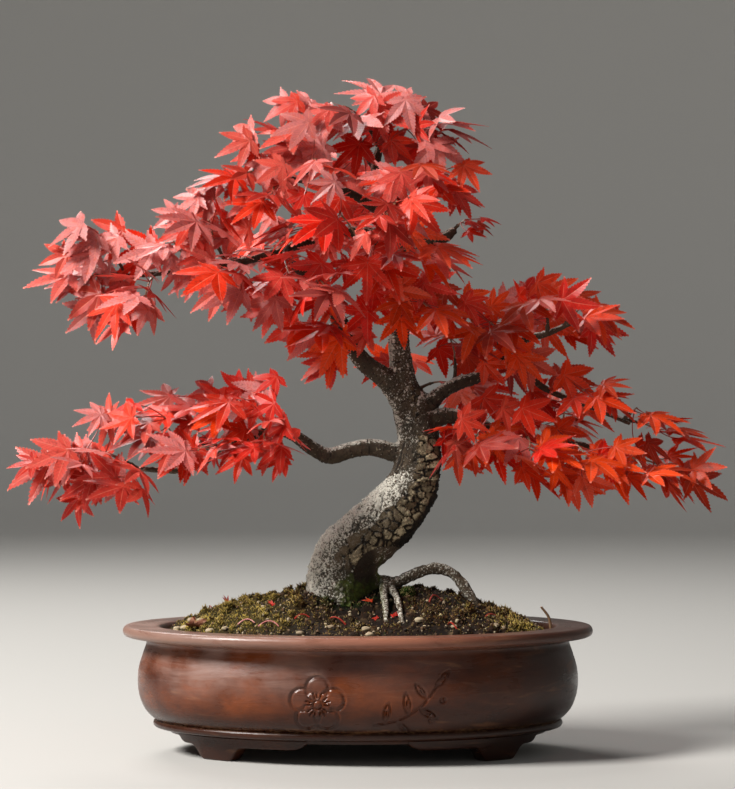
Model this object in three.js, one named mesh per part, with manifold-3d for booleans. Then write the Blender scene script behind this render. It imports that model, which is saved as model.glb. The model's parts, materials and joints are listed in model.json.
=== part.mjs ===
// A japanese maple bonsai in autumn red: an oval stoneware pot on four bracket feet, two drain screens
// on its floor, a heap of soil, the tree's wood in one piece from the roots to the twigs, and a leafy
// shoot at the end of each twig. Millimetres, +Z up. The front is towards -Y, and the plan's long side
// runs along X.
import * as THREE from 'three';
import { mergeVertices } from 'three/addons/utils/BufferGeometryUtils.js';
import Module from 'manifold-3d';

const wasm = await Module();
wasm.setup();

// Driving dimensions.
const GAP = 0.3; // between pieces that touch
const RIM_LENGTH = 320; // the pot's rim, along X
const RIM_DEPTH = 236; // the pot's rim, along Y
const POT_HEIGHT = 86;
const FLOOR_UNDER = 14; // underside of the pot's floor
const FLOOR_TOP = 21;
const DRAIN_RADIUS = 10;
const DRAIN_OFFSET = 62; // from the middle of the pot, along X
const SCREEN_SIDE = 32;
const SCREEN_THICKNESS = 1.2;
const SOIL_EDGE = 80; // height of the soil where it meets the wall
const SOIL_RISE = 32; // how much higher the heap is in the middle
const BLADE_THICKNESS = 1.8; // at the middle of a leaf, from where it thins out to its edge
const PETIOLE_WIDTH = 1.1;
const PETIOLE_LENGTH = 12;
const LEAF_LENGTH = 31; // from the leaf's middle to the tip of its central lobe, on average
const SPUR_LEAF_SIZE = 0.5; // of a usual leaf, on the stub's tuft
const WOODY_SHARE = 0.42; // of a twig, before its leafy shoot begins
const SEVEN_LOBED_SHARE = 0.35; // of the leaves; the others have five lobes
const CLEARANCE = 0.5; // above and below a leaf, from everything that isn't its own shoot
const PAIR_SPACING = 7.5; // along a shoot, between its pairs of leaves
const AXIS_X = 25; // the tree's middle, which leaves look away from

const POT_SEGMENTS = 36;
const RIDGE = 0.04; // of the radius, how far the trunk's and roots' lengthwise muscles stand out
const TRIES = 90; // to find a clear place for a leaf
const SEED = 11;

// Materials.
const paint = (color, roughness) => new THREE.MeshStandardMaterial({ color, roughness, metalness: 0 });
const STONEWARE = paint(0x6b3a24, 0.55);
const PLASTIC_MESH = paint(0x1d1f1c, 0.7);
const SOIL = paint(0x4a3b1f, 1);
const BARK = paint(0x6f6653, 0.9);
const LEAF = paint(0xd8281c, 0.5);

// Random numbers from a seed, the same each run.
function seeded(seed) {
  let state = seed;
  return () => {
    state = (state + 0x6d2b79f5) | 0;
    let t = Math.imul(state ^ (state >>> 15), 1 | state);
    t = (t + Math.imul(t ^ (t >>> 7), 61 | t)) ^ t;
    return ((t ^ (t >>> 14)) >>> 0) / 4294967296;
  };
}

const vec = (x, y, z) => new THREE.Vector3(x, y, z);
const UP = vec(0, 0, 1);
const mix = (a, b, t) => a + (b - a) * t;

// A closed three.js geometry as a solid that can be cut and joined.
function solidOf(geometry) {
  const bare = geometry.clone();
  for (const name of Object.keys(bare.attributes)) {
    if (name !== 'position') bare.deleteAttribute(name);
  }
  const merged = mergeVertices(bare, 1e-4);
  const mesh = new wasm.Mesh({
    numProp: 3,
    vertProperties: new Float32Array(merged.attributes.position.array),
    triVerts: new Uint32Array(merged.index.array),
  });
  return new wasm.Manifold(mesh);
}

// The solid's triangles as a flat-shaded three.js geometry.
function geometryOf(solid) {
  const mesh = solid.getMesh();
  const geometry = new THREE.BufferGeometry();
  geometry.setAttribute('position', new THREE.BufferAttribute(new Float32Array(mesh.vertProperties), 3));
  geometry.setIndex(new THREE.BufferAttribute(new Uint32Array(mesh.triVerts), 1));
  const flat = geometry.toNonIndexed();
  flat.computeVertexNormals();
  return flat;
}

function geometryFrom(points, triangles) {
  const geometry = new THREE.BufferGeometry();
  const places = points.flatMap((p) => [p.x, p.y, p.z]);
  geometry.setAttribute('position', new THREE.Float32BufferAttribute(places, 3));
  geometry.setIndex(triangles.flat());
  return geometry;
}

const joined = (solids) => solids.reduce((all, one) => all.add(one));

const group = new THREE.Group();
function addNode(name, solid, material) {
  const mesh = new THREE.Mesh(geometryOf(solid), material);
  mesh.name = name;
  group.add(mesh);
}

// The pot's plan is an oval. A ring of half-length w along X has the half-depth w less this, so that
// walls and rim have the same width all round.
const OVAL_STEP = (RIM_LENGTH - RIM_DEPTH) / 2;
const onOval = (w, angle, z) => vec(w * Math.cos(angle), (w - OVAL_STEP) * Math.sin(angle), z);

// A lathe round the oval: each profile point is a half-length and a height. The profile starts and ends
// on the axis.
function ovalLathe(profile, segments) {
  const lathe = new THREE.LatheGeometry(
    profile.map(([w, z]) => new THREE.Vector2(w, z)),
    segments,
  );
  lathe.rotateX(Math.PI / 2);
  const at = lathe.attributes.position;
  for (let i = 0; i < at.count; i++) {
    const w = Math.hypot(at.getX(i), at.getY(i));
    if (w > OVAL_STEP) at.setY(i, (at.getY(i) * (w - OVAL_STEP)) / w);
  }
  return lathe;
}

// The inside of the pot's wall, from the lip down to the floor.
const INNER_WALL = [[134.5, POT_HEIGHT - 2.5], [135.5, 60], [141, 46], [135, 29], [126, FLOOR_TOP]];

function potProfile() {
  const half = RIM_LENGTH / 2;
  return [
    [0, FLOOR_UNDER],
    [128, FLOOR_UNDER],
    [130, 17],
    [137, 17.5], // the bead
    [139.5, 20],
    [138.5, 22.5],
    [143.5, 28],
    [148.3, 36.5],
    [150, 46], // the belly
    [149, 57],
    [145.5, 68],
    [144, 76], // the neck
    [half - 4, 78],
    [half, 80.5], // the lip
    [half, POT_HEIGHT - 2.5],
    [half - 2.5, POT_HEIGHT],
    [137, POT_HEIGHT],
    ...INNER_WALL,
    [0, FLOOR_TOP],
  ];
}

// The bracket feet: the middle of each toe in degrees round the oval, the side that its long skirt lies
// on, and the height of its sole. One sole is a hair short of the ground, as on a pot made by hand, so
// that three feet carry the weight and it can't rock between four.
const FEET = [[-41, -1, 0], [-139, 1, 0], [139, -1, 0], [41, 1, 0.3]];
const FOOT_SKIRT = 9.5; // height of the skirt's lower edge
const FOOT_END = 14.5; // where the lower edge runs out under the floor
const FOOT_OUTER = 129; // the foot's faces, as half-lengths of the oval
const FOOT_INNER = 114;
const FOOT_LEAN = 0.22; // inwards, per millimetre down
const FOOT_BITE = 1.5; // how far the foot goes up into the floor

// The foot's lower edge: degrees round the oval from the toe, and height.
const footEdge = (sole) => [
  [-34, FOOT_END],
  [-31, FOOT_SKIRT + 1],
  [-27, FOOT_SKIRT],
  [-11, FOOT_SKIRT],
  [-7.5, 7],
  [-6.5, sole],
  [6.5, sole],
  [7.5, 7],
  [11, FOOT_SKIRT],
  [17, FOOT_SKIRT],
  [20, FOOT_END],
];

// One bracket foot, a curved strip under the wall. Its lower edge steps down from a long skirt to a
// short toe.
function bracketFoot(middle, side, sole) {
  const points = [];
  const top = FLOOR_UNDER + FOOT_BITE;
  const edge = footEdge(sole);
  for (const [turn, z] of edge) {
    const angle = THREE.MathUtils.degToRad(middle - side * turn);
    const lean = (FLOOR_UNDER - z) * FOOT_LEAN;
    points.push(onOval(FOOT_OUTER - lean, angle, z), onOval(FOOT_OUTER, angle, top));
    points.push(onOval(FOOT_INNER, angle, top), onOval(FOOT_INNER + 3, angle, z));
  }
  const triangles = [];
  const quad = (a, b, c, d) => triangles.push([a, b, c], [a, c, d]);
  for (let i = 0; i + 1 < edge.length; i++) {
    for (let k = 0; k < 4; k++) {
      quad(4 * i + k, 4 * i + 4 + k, 4 * i + 4 + ((k + 1) % 4), 4 * i + ((k + 1) % 4));
    }
  }
  const last = 4 * (edge.length - 1);
  quad(0, 1, 2, 3);
  quad(last + 3, last + 2, last + 1, last);
  if (side > 0) triangles.forEach((t) => t.reverse());
  return solidOf(geometryFrom(points, triangles));
}

function makePot() {
  let pot = solidOf(ovalLathe(potProfile(), POT_SEGMENTS));
  for (const foot of FEET) pot = pot.add(bracketFoot(...foot));
  for (const x of [-DRAIN_OFFSET, DRAIN_OFFSET]) {
    const depth = 2 * FLOOR_TOP;
    const drill = new THREE.CylinderGeometry(DRAIN_RADIUS, DRAIN_RADIUS, depth, 12);
    pot = pot.subtract(solidOf(drill.rotateX(Math.PI / 2).translate(x, 0, FLOOR_TOP)));
  }
  return pot;
}

function screenBox(x, grow) {
  const side = SCREEN_SIDE + 2 * grow;
  const box = new THREE.BoxGeometry(side, side, SCREEN_THICKNESS + 2 * grow);
  return box.translate(x, 0, FLOOR_TOP + GAP + SCREEN_THICKNESS / 2);
}

// Height of the soil at a share of the way out from the middle to the wall, in a direction. The heap is
// steeper towards the front, and a few low lumps ride on it.
function soilHeight(share, angle) {
  const front = Math.max(0, -Math.sin(angle)) ** 1.5;
  const heap = SOIL_EDGE + SOIL_RISE * (1 - share ** (2.4 - 1.5 * front));
  const lumps = 1.3 * Math.sin(3 * angle + 6 * share) + Math.cos(5 * angle - 4 * share + 1);
  return heap + lumps * share * (1 - share) * 4;
}

// The soil fills the pot up to its wall, a gap away from it. Its rings run from the middle of the
// heap's top to its edge, and down the wall to the floor.
function makeSoil(holes) {
  const edge = INNER_WALL[0][0] - GAP;
  const rings = [];
  for (const share of [0.16, 0.36, 0.6, 0.82, 1]) {
    const onTop = (angle) => onOval(edge, angle, 0).multiplyScalar(share);
    rings.push((angle) => onTop(angle).setZ(soilHeight(share, angle)));
  }
  for (const [w, z] of INNER_WALL.slice(1, -1)) {
    rings.push((angle) => onOval(w - 1.5 * GAP, angle, z));
  }
  rings.push((angle) => onOval(INNER_WALL[4][0] - 2 * GAP, angle, FLOOR_TOP + GAP));
  const points = [];
  for (const ring of rings) {
    for (let j = 0; j < POT_SEGMENTS; j++) points.push(ring((2 * Math.PI * j) / POT_SEGMENTS));
  }
  points.push(vec(0, 0, soilHeight(0, 0)), vec(0, 0, FLOOR_TOP + GAP));
  const [top, bottom] = [points.length - 2, points.length - 1];
  const triangles = [];
  for (let j = 0; j < POT_SEGMENTS; j++) {
    const next = (j + 1) % POT_SEGMENTS;
    triangles.push([top, j, next]);
    for (let i = 0; i + 1 < rings.length; i++) {
      const [p, q] = [i * POT_SEGMENTS, (i + 1) * POT_SEGMENTS];
      triangles.push([p + j, q + j, q + next], [p + j, q + next, p + next]);
    }
    const last = (rings.length - 1) * POT_SEGMENTS;
    triangles.push([bottom, last + next, last + j]);
  }
  let soil = solidOf(geometryFrom(points, triangles));
  for (const x of [-DRAIN_OFFSET, DRAIN_OFFSET]) soil = soil.subtract(solidOf(screenBox(x, GAP)));
  for (const hole of holes) soil = soil.subtract(hole);
  return soil;
}

// A drain screen: a square of plastic mesh, with nine holes.
function makeScreen(x) {
  let screen = solidOf(screenBox(x, 0));
  const pitch = SCREEN_SIDE / 4;
  const side = 0.6 * pitch;
  for (const i of [-1, 0, 1]) {
    for (const j of [-1, 0, 1]) {
      const hole = new THREE.BoxGeometry(side, side, 4 * SCREEN_THICKNESS);
      screen = screen.subtract(solidOf(hole.translate(x + i * pitch, j * pitch, FLOOR_TOP + 1)));
    }
  }
  return screen;
}

// A round limb: a closed tube on a smooth curve through the points, with its radius given at each.
class Limb {
  constructor(name, stations, sides, steps) {
    this.name = name;
    const places = stations.map(([x, y, z]) => vec(x, y, z));
    this.curve = new THREE.CatmullRomCurve3(places, false, 'centripetal');
    this.radii = stations.map((s) => s[3]);
    this.sides = sides;
    this.steps = steps;
  }
  radius(t) {
    const x = t * (this.radii.length - 1);
    const i = Math.min(this.radii.length - 2, Math.floor(x));
    return mix(this.radii[i], this.radii[i + 1], x - i);
  }
  point(t) {
    return this.curve.getPoint(t);
  }
  // The point of the curve that is nearest to a place.
  nearest(place) {
    let best = 0;
    for (let i = 0; i <= 60; i++) {
      if (this.point(i / 60).distanceTo(place) < this.point(best).distanceTo(place)) best = i / 60;
    }
    return best;
  }
  solid(grow = 0, ridge = 0) {
    const { sides, steps } = this;
    const span = { from: 0, to: 1 };
    return tube((t) => this.point(t), (t) => this.radius(t), sides, steps, span, ridge, grow);
  }
}

// A closed tube of flat facets, along a span of a curve. A ridge above 0 swells the section into a few
// lengthwise muscles, as old wood has. What grows, grows at both ends too, to make a hole for the tube.
function tube(pointAt, radiusAt, sides, steps, { from, to }, ridge = 0, grow = 0) {
  const points = [];
  const triangles = [];
  const muscles = (a, t) => 1 + ridge * (Math.cos(3 * a + 5 * t) + 0.6 * Math.cos(5 * a - 9 * t));
  const e = 1e-3;
  let side = null;
  for (let i = 0; i <= steps; i++) {
    const t = mix(from, to, i / steps);
    const along = pointAt(Math.min(1, t + e)).sub(pointAt(Math.max(0, t - e))).normalize();
    side = side ?? vec(0, -1, 0);
    side = side.clone().addScaledVector(along, -side.dot(along)).normalize();
    const other = along.clone().cross(side);
    const middle = pointAt(t);
    if (i === 0) middle.addScaledVector(along, -grow);
    if (i === steps) middle.addScaledVector(along, grow);
    for (let k = 0; k < sides; k++) {
      const a = (2 * Math.PI * k) / sides;
      const r = grow + radiusAt(t) * muscles(a, t);
      const outwards = side.clone().multiplyScalar(Math.cos(a)).addScaledVector(other, Math.sin(a));
      points.push(middle.clone().addScaledVector(outwards, r));
    }
  }
  for (let i = 0; i < steps; i++) {
    for (let k = 0; k < sides; k++) {
      const [a, b] = [i * sides + k, i * sides + ((k + 1) % sides)];
      triangles.push([a, b, b + sides], [a, b + sides, a + sides]);
    }
  }
  for (let k = 1; k + 1 < sides; k++) {
    triangles.push([0, k + 1, k], [steps * sides, steps * sides + k, steps * sides + k + 1]);
  }
  return solidOf(geometryFrom(points, triangles));
}

// The wood. Each station of a limb is a place and the radius there.
const trunk = new Limb('trunk', [
  [-14, 0, 76, 27],
  [-14, 0, 92, 25.5],
  [-13.5, 0, 108, 22.5],
  [-11.5, 0, 125, 22],
  [-4, -1, 138, 21.8],
  [8.5, -2, 148.5, 21],
  [21.5, -3, 160.5, 20],
  [31.5, -3, 172, 18.8],
  [37.8, -2, 183, 17],
  [40.6, -1, 194, 15.4],
  [41.2, 0, 211, 14.2],
  [39.8, 1, 224, 14],
  [36.5, 2, 236, 13],
  [33, 2, 246, 10],
], 10, 16);

const limbs = {
  leader: new Limb('leader', [
    [36.5, 2, 234, 11],
    [32, 2, 249, 9.2],
    [29, 2, 266, 7.8],
    [28, 1, 283, 6.8],
    [31, 0, 300, 6.2],
    [29, 0, 320, 5.6],
    [22, 2, 347, 5],
    [14, 2, 374, 4.1],
    [12, 0, 398, 3.2],
    [17, -2, 420, 2.2],
  ], 6, 9),
  left_fork: new Limb('left_fork', [
    [34, 0, 232, 8.5],
    [19, -2, 253, 7.2],
    [4.5, -4, 264.5, 6.2],
    [-4, -6, 276, 5.5],
    [-12, -13, 293, 4.6],
    [-26, -22, 313, 3.8],
    [-44, -30, 331, 2.8],
  ], 6, 6),
  crown_left: new Limb('crown_left', [
    [21, 2, 350, 4.8],
    [-5, 4, 354, 4.1],
    [-32, 4, 348, 3.6],
    [-60, 0, 339, 3.2],
    [-87, -4, 332, 2.8],
    [-114, -6, 328, 2.4],
    [-142, -6, 325, 2],
    [-165, -6, 324, 1.6],
  ], 5, 7),
  crown_top_left: new Limb('crown_top_left', [
    [15, 2, 368, 3.6],
    [-8, -8, 381, 2.8],
    [-32, -14, 387, 2.3],
    [-52, -18, 390, 1.7],
  ], 5, 3),
  crown_front: new Limb('crown_front', [
    [30, 0, 312, 4.6],
    [27, -22, 324, 3.4],
    [17, -44, 330, 2.6],
    [8, -58, 332, 1.8],
  ], 5, 3),
  crown_right: new Limb('crown_right', [
    [13, 0, 384, 3.4],
    [30, -4, 392, 2.6],
    [46, -8, 388, 1.8],
  ], 5, 2),
  crown_back: new Limb('crown_back', [
    [28, 0, 326, 4.2],
    [22, 26, 342, 3],
    [8, 50, 352, 2.2],
    [-4, 66, 358, 1.7],
  ], 5, 3),
  spur: new Limb('spur', [
    [26, 1, 342, 4.8],
    [38, 2, 347, 4.8],
    [50, 2, 348.5, 4.5],
    [60, 1, 351, 3.9],
    [66, 0, 355.5, 2.8],
], 6, 4),
  right_high: new Limb('right_high', [
    [40, 2, 228, 7],
    [56, -2, 243.5, 5.2],
    [67, -4, 250, 4.6],
    [81, -4, 255, 4.2],
    [92.5, -2, 264, 3.9],
    [99, 0, 274, 3.6],
    [112, 0, 280, 3],
    [130, -4, 285, 2.3],
    [146, -6, 292, 1.7],
  ], 6, 9),
  right_middle: new Limb('right_middle', [
    [97, -1, 270, 3.3],
    [112, 5, 266, 2.8],
    [124, 9, 250, 2.5],
    [142, 10, 241, 2.2],
    [166, 6, 232, 1.9],
    [186, 2, 223, 1.5],
  ], 5, 6),
  right_low: new Limb('right_low', [
    [40, 0, 219, 7.5],
    [58, -3, 228, 5.6],
    [74, -6, 227, 4.7],
    [90, -9, 219.5, 4],
    [111, -12, 214, 3.4],
    [138, -13, 211, 2.8],
    [166, -10, 205, 2.2],
    [188, -8, 198, 1.6],
  ], 6, 7),
  left_low: new Limb('left_low', [
    [38, 0, 200, 8],
    [23.5, -3, 204, 6.5],
    [8.5, -4, 207, 5.8],
    [-7, -5, 204.5, 5.8],
    [-20, -5, 201, 5.6],
    [-32, -5, 207, 4.8],
    [-44, -5, 215.5, 4.3],
    [-58, -6, 219, 3.7],
    [-77, -8, 213, 3.2],
    [-97, -9, 202, 2.9],
    [-118, -8, 192, 2.5],
    [-142, -6, 192, 2],
    [-162, -6, 194, 1.6],
  ], 6, 13),
  back_low: new Limb('back_low', [
    [41, 3, 205, 7],
    [45, 24, 216, 5],
    [46, 46, 230, 3.6],
    [42, 66, 244, 2.6],
    [36, 80, 256, 1.8],
  ], 5, 4),
};

// Roots. The exposed one leaves the trunk's foot on the right, knots, sends two legs down and arches
// over to the right. The others are buried.
const roots = [
  new Limb('root_exposed', [
    [4, 2, 106, 6],
    [10, 0, 111, 4.2],
    [17, -3, 115.5, 4.6],
    [24, -4, 115, 3.9],
    [34, -4, 118.5, 4],
    [46, -4, 123.5, 3.8],
    [56, -4, 124.5, 3.7],
    [66, -4, 120, 3.5],
    [74, -5, 109, 3.6],
    [82, -6, 97, 3.2],
    [86, -6, 88, 2.2],
  ], 6, 11),
  new Limb('root_leg_left', [
    [18, -4, 115, 3.6],
    [17.5, -18, 109.5, 2.7],
    [18.5, -34, 101.5, 2.4],
    [19, -50, 91, 1.8],
  ], 5, 3),
  new Limb('root_leg_right', [
    [21, -5, 113, 3],
    [25.5, -20, 107.5, 2.3],
    [28, -36, 100.5, 2.1],
    [30, -54, 89.5, 1.6],
  ], 5, 3),
  new Limb('root_nub', [
    [15, -3, 115, 2.6],
    [12.5, -4, 121, 1.7],
    [13.5, -5, 125, 1.1],
  ], 4, 2),
  new Limb('root_left', [
    [-18, 0, 92, 15],
    [-38, -5, 84, 9],
    [-58, -8, 72, 6],
    [-72, -10, 60, 3.5],
  ], 5, 2),
  new Limb('root_front', [
    [-14, -6, 92, 14],
    [-12, -27, 82, 8],
    [-8, -45, 68, 5.5],
    [-4, -58, 56, 3],
  ], 5, 2),
  new Limb('root_back', [
    [-12, 6, 90, 14],
    [-14, 28, 82, 8],
    [-20, 48, 68, 5],
    [-24, 60, 56, 3],
  ], 5, 2),
  new Limb('root_right', [
    [-8, 2, 88, 14],
    [14, 6, 80, 8.5],
    [34, 10, 68, 5.5],
    [50, 12, 56, 3],
  ], 5, 2),
];

// Where each twig ends, by the limb that carries it. The last of a list is the limb's own end.
const TWIG_TIPS = {
  left_low: [
    [-62, -46, 212], [-78, -32, 241], [-116, 44, 214], [-106, -52, 206], [-112, 14, 242],
    [-130, -34, 228], [-150, -34, 186], [-184, -32, 206], [-200, -8, 196],
  ],
  crown_left: [
    [-60, 50, 344], [-46, -46, 324], [-30, -62, 352], [-84, -60, 326], [-100, -36, 360],
    [-124, -30, 346], [-142, -40, 308], [-168, -16, 342], [-184, -10, 322],
  ],
  left_fork: [[-20, -26, 288], [-20, -72, 312]],
  crown_top_left: [[-28, -48, 400], [-36, -16, 422], [-76, -30, 392], [-58, -42, 374]],
  leader: [[46, -46, 302], [-4, 36, 408], [-10, -22, 438], [48, -14, 426], [20, 2, 450]],
  crown_front: [[46, -66, 342], [26, -82, 370], [-12, -82, 362]],
  crown_right: [[34, -48, 394], [34, 42, 390], [50, -22, 386]],
  crown_back: [[48, 52, 344], [-4, 86, 362]],
  spur: [[73, -2, 362]],
  right_high: [
    [62, 24, 284], [88, -30, 292], [122, -34, 308], [118, 36, 298], [148, 22, 290], [152, -10, 302],
  ],
  right_middle: [[142, 40, 224], [152, -28, 246], [188, -26, 234], [206, 6, 218]],
  right_low: [[78, -48, 214], [114, -56, 206], [152, -54, 200], [190, -40, 194], [213, -14, 190]],
  back_low: [[72, 84, 250], [30, 104, 272]],
};

// A twig leaves its limb a little before the place that is nearest to its tip, forwards and upwards, and
// bends over to the tip.
const TWIG_SETBACK = 0.05; // of the limb's length
const TWIG_FORWARD = 0.12; // of the twig's reach
const TWIG_ARCH = 0.16; // of the twig's reach
function twigCurve(limb, tip) {
  const place = Math.max(TWIG_SETBACK, limb.nearest(tip) - TWIG_SETBACK);
  const start = limb.point(place);
  const reach = tip.distanceTo(start);
  const forward = limb.point(Math.min(1, place + 0.04)).sub(start).normalize();
  const bend = start.clone().lerp(tip, 0.45);
  bend.addScaledVector(forward, TWIG_FORWARD * reach).addScaledVector(UP, TWIG_ARCH * reach);
  return new THREE.QuadraticBezierCurve3(start, bend, tip);
}

// The twig's radius, from its limb to its tip.
const twigRadius = (t) => mix(1.5, 0.55, Math.min(1, 1.6 * t));

// A leaf's outline, in shares of its length, counted from the base on its right round to the base on its
// left. Each lobe has an angle from the central one, in degrees, and a length.
const SEVEN_LOBES = [
  [-124, 0.38], [-80, 0.68], [-39, 0.9], [0, 1], [39, 0.9], [80, 0.68], [124, 0.38],
];
const FIVE_LOBES = [[-96, 0.56], [-46, 0.88], [0, 1], [46, 0.88], [96, 0.56]];
const NOTCH = 0.34; // how far out the notches between lobes are
const TIP_DROOP = 0.13; // how far a lobe's tip hangs
const NOTCH_LIFT = 0.045; // how far the notches stand up
const LEAF_BASE = 0.07; // how far the blade goes back past the petiole's end

function leafOutline(lobes, length) {
  const half = PETIOLE_WIDTH / 2;
  const turned = (degrees, r, z) => {
    const a = THREE.MathUtils.degToRad(degrees);
    return vec(-r * Math.sin(a), r * Math.cos(a), z).multiplyScalar(length);
  };
  const outline = [vec(half, -LEAF_BASE * length, 0)];
  lobes.forEach(([angle, reach], i) => {
    if (i > 0) {
      const [before, size] = lobes[i - 1];
      const depth = NOTCH * (0.55 + 0.5 * Math.min(size, reach));
      outline.push(turned((before + angle) / 2, depth, NOTCH_LIFT));
    }
    outline.push(turned(angle, reach, -TIP_DROOP * reach));
  });
  outline.push(vec(-half, -LEAF_BASE * length, 0));
  return outline;
}

// A leaf's blade on a frame that holds its place, with Y along its central lobe and Z out of its face.
// Two fans of triangles share the outline. The first corners are the top's middle and the underside's
// middle. The petiole's end is left open.
function bladeMesh(frame, lobes, length, grow = 0) {
  const outline = leafOutline(lobes, length + 2 * grow);
  const rise = BLADE_THICKNESS / 2 + grow;
  const points = [vec(0, 0, rise), vec(0, 0, -rise), ...outline].map((p) => p.applyMatrix4(frame));
  const [right, left] = [2, points.length - 1];
  const triangles = [[1, right, left]];
  for (let i = right; i < left; i++) triangles.push([0, i, i + 1], [1, i + 1, i]);
  return { points, triangles, opening: [0, right, left] };
}

// Joins two three-cornered openings by a tube, with the turn that twists it least.
function tubeBetween(points, from, to) {
  const middle = (ids) => ids.reduce((sum, i) => sum.add(points[i]), vec(0, 0, 0)).divideScalar(3);
  const [start, end] = [middle(from), middle(to)];
  const match = (turn) => {
    const arm = (i) => points[to[(i + turn) % 3]].clone().sub(end).normalize();
    return from.reduce((sum, id, i) => sum + points[id].clone().sub(start).normalize().dot(arm(i)), 0);
  };
  const best = [0, 1, 2].reduce((a, b) => (match(b) > match(a) ? b : a));
  const far = [0, 1, 2].map((i) => to[(i + best) % 3]);
  const triangles = [];
  for (let i = 0; i < 3; i++) {
    const next = (i + 1) % 3;
    triangles.push([from[i], from[next], far[next]], [from[i], far[next], far[i]]);
  }
  return triangles;
}

// A leaf with a plain petiole down to the stem, as a closed body, to measure what is in its way.
function leafProbe(frame, stem, lobes, length, grow) {
  const { points, triangles, opening } = bladeMesh(frame, lobes, length, grow);
  const along = points[2].clone().sub(stem).normalize();
  const first = points.length;
  const start = stem.clone().addScaledVector(along, 2.5);
  points.push(...ringAt(start, along, PETIOLE_WIDTH / 2 + grow));
  const ring = [first, first + 1, first + 2];
  triangles.push(...tubeBetween(points, ring, opening), [first, first + 2, first + 1]);
  return solidOf(geometryFrom(points, triangles));
}

// Three corners round a stem: one on top, then one on its right and one on its left as it grows.
function ringAt(middle, along, radius) {
  const left = UP.clone().cross(along).normalize();
  const top = along.clone().cross(left).normalize();
  return [90, 210, 330].map((degrees) => {
    const a = THREE.MathUtils.degToRad(degrees);
    const outwards = left.clone().multiplyScalar(Math.cos(a)).addScaledVector(top, Math.sin(a));
    return middle.clone().addScaledVector(outwards, radius);
  });
}

// Everything placed so far, each with the box that it fills, to keep a new leaf clear of it.
const placed = [];
function boxOf(solid) {
  const box = solid.boundingBox();
  return new THREE.Box3(vec(...box.min), vec(...box.max));
}
function place(solid, owner) {
  placed.push({ solid, owner, box: boxOf(solid) });
}
function meet(a, b) {
  const common = a.intersect(b);
  const some = !common.isEmpty();
  common.delete();
  return some;
}
function isClear(solid, owner) {
  const box = boxOf(solid);
  return placed.every((other) => {
    return other.owner === owner || !other.box.intersectsBox(box) || !meet(solid, other.solid);
  });
}

// How much each direction pulls on a leaf: up, out along the shoot, to the leaf's side of it, and at
// random. The petiole leads outwards, the blade's face looks up and to the side, and its tip hangs.
const PETIOLE_PULL = { up: -0.1, out: 1, side: 0.9, random: 0.25 };
const FACE_PULL = { up: 0.62, out: 0.35, side: 0.5, random: 0.36 };
const TIP_PULL = { up: -0.8, out: 1, side: 0.6, random: 0.4 };
const BACK_STARTS = 30; // along Y, from where leaves look to the back
const FACE_FORWARD = -0.45; // along Y, in front of that
const FACE_BACKWARD = 0.2;
const SPREAD_REACH = 80; // from the tree's middle, to where tips point straight to the side

// The frame of a leaf on a shoot. The more it strays, the less it is held by the pulls.
function leafFrame(stemPoint, stemDir, side, stray, random) {
  const away = vec(stemPoint.x - AXIS_X, stemPoint.y, 0).normalize();
  const out = vec(stemDir.x, stemDir.y, 0).add(away.clone().multiplyScalar(0.5)).normalize();
  const pulled = (pull) => {
    const wobble = vec(random() - 0.5, random() - 0.5, random() - 0.5);
    const held = UP.clone().multiplyScalar(pull.up).addScaledVector(out, pull.out);
    return held.addScaledVector(side, pull.side).addScaledVector(wobble, 2 * pull.random * stray);
  };
  const towards = pulled(PETIOLE_PULL).normalize();
  const reach = PETIOLE_LENGTH * (0.7 + 0.5 * stray * random());
  const middle = stemPoint.clone().addScaledVector(towards, reach);
  const forward = stemPoint.y < BACK_STARTS ? FACE_FORWARD : FACE_BACKWARD;
  const face = pulled(FACE_PULL).add(vec(0, forward, 0)).normalize();
  const spread = THREE.MathUtils.clamp((stemPoint.x - AXIS_X) / SPREAD_REACH, -1, 1);
  const tip = pulled(TIP_PULL).add(vec(spread, 0, 0));
  tip.addScaledVector(face, -tip.dot(face)).normalize();
  const across = tip.clone().cross(face).normalize();
  return new THREE.Matrix4().makeBasis(across, tip, face).setPosition(middle);
}

// A growing closed mesh that refuses triangles that would cross it.
class Body {
  constructor() {
    this.points = [];
    this.triangles = [];
    this.boxes = [];
  }
  box(triangle) {
    return new THREE.Box3().setFromPoints(triangle.map((i) => this.points[i]));
  }
  add(triangles) {
    this.triangles.push(...triangles);
    this.boxes.push(...triangles.map((t) => this.box(t)));
  }
  // True when the edge from a to b goes through the triangle. One that ends on its corner doesn't.
  pierces(a, b, triangle) {
    if (triangle.includes(a) || triangle.includes(b)) return false;
    const along = this.points[b].clone().sub(this.points[a]);
    const length = along.length();
    const ray = new THREE.Ray(this.points[a], along.divideScalar(length));
    const hit = ray.intersectTriangle(...triangle.map((i) => this.points[i]), false, vec(0, 0, 0));
    return hit !== null && hit.distanceTo(this.points[a]) < length;
  }
  cross(one, other) {
    const edges = (t) => [[t[0], t[1]], [t[1], t[2]], [t[2], t[0]]];
    return edges(one).some(([a, b]) => this.pierces(a, b, other))
      || edges(other).some(([a, b]) => this.pierces(a, b, one));
  }
  isCrossedBy(triangles) {
    const boxes = triangles.map((t) => this.box(t));
    for (let i = 0; i < triangles.length; i++) {
      for (let j = 0; j < i; j++) {
        if (boxes[i].intersectsBox(boxes[j]) && this.cross(triangles[i], triangles[j])) return true;
      }
      for (let j = 0; j < this.triangles.length; j++) {
        const near = boxes[i].intersectsBox(this.boxes[j]);
        if (near && this.cross(triangles[i], this.triangles[j])) return true;
      }
    }
    return false;
  }
}

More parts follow.
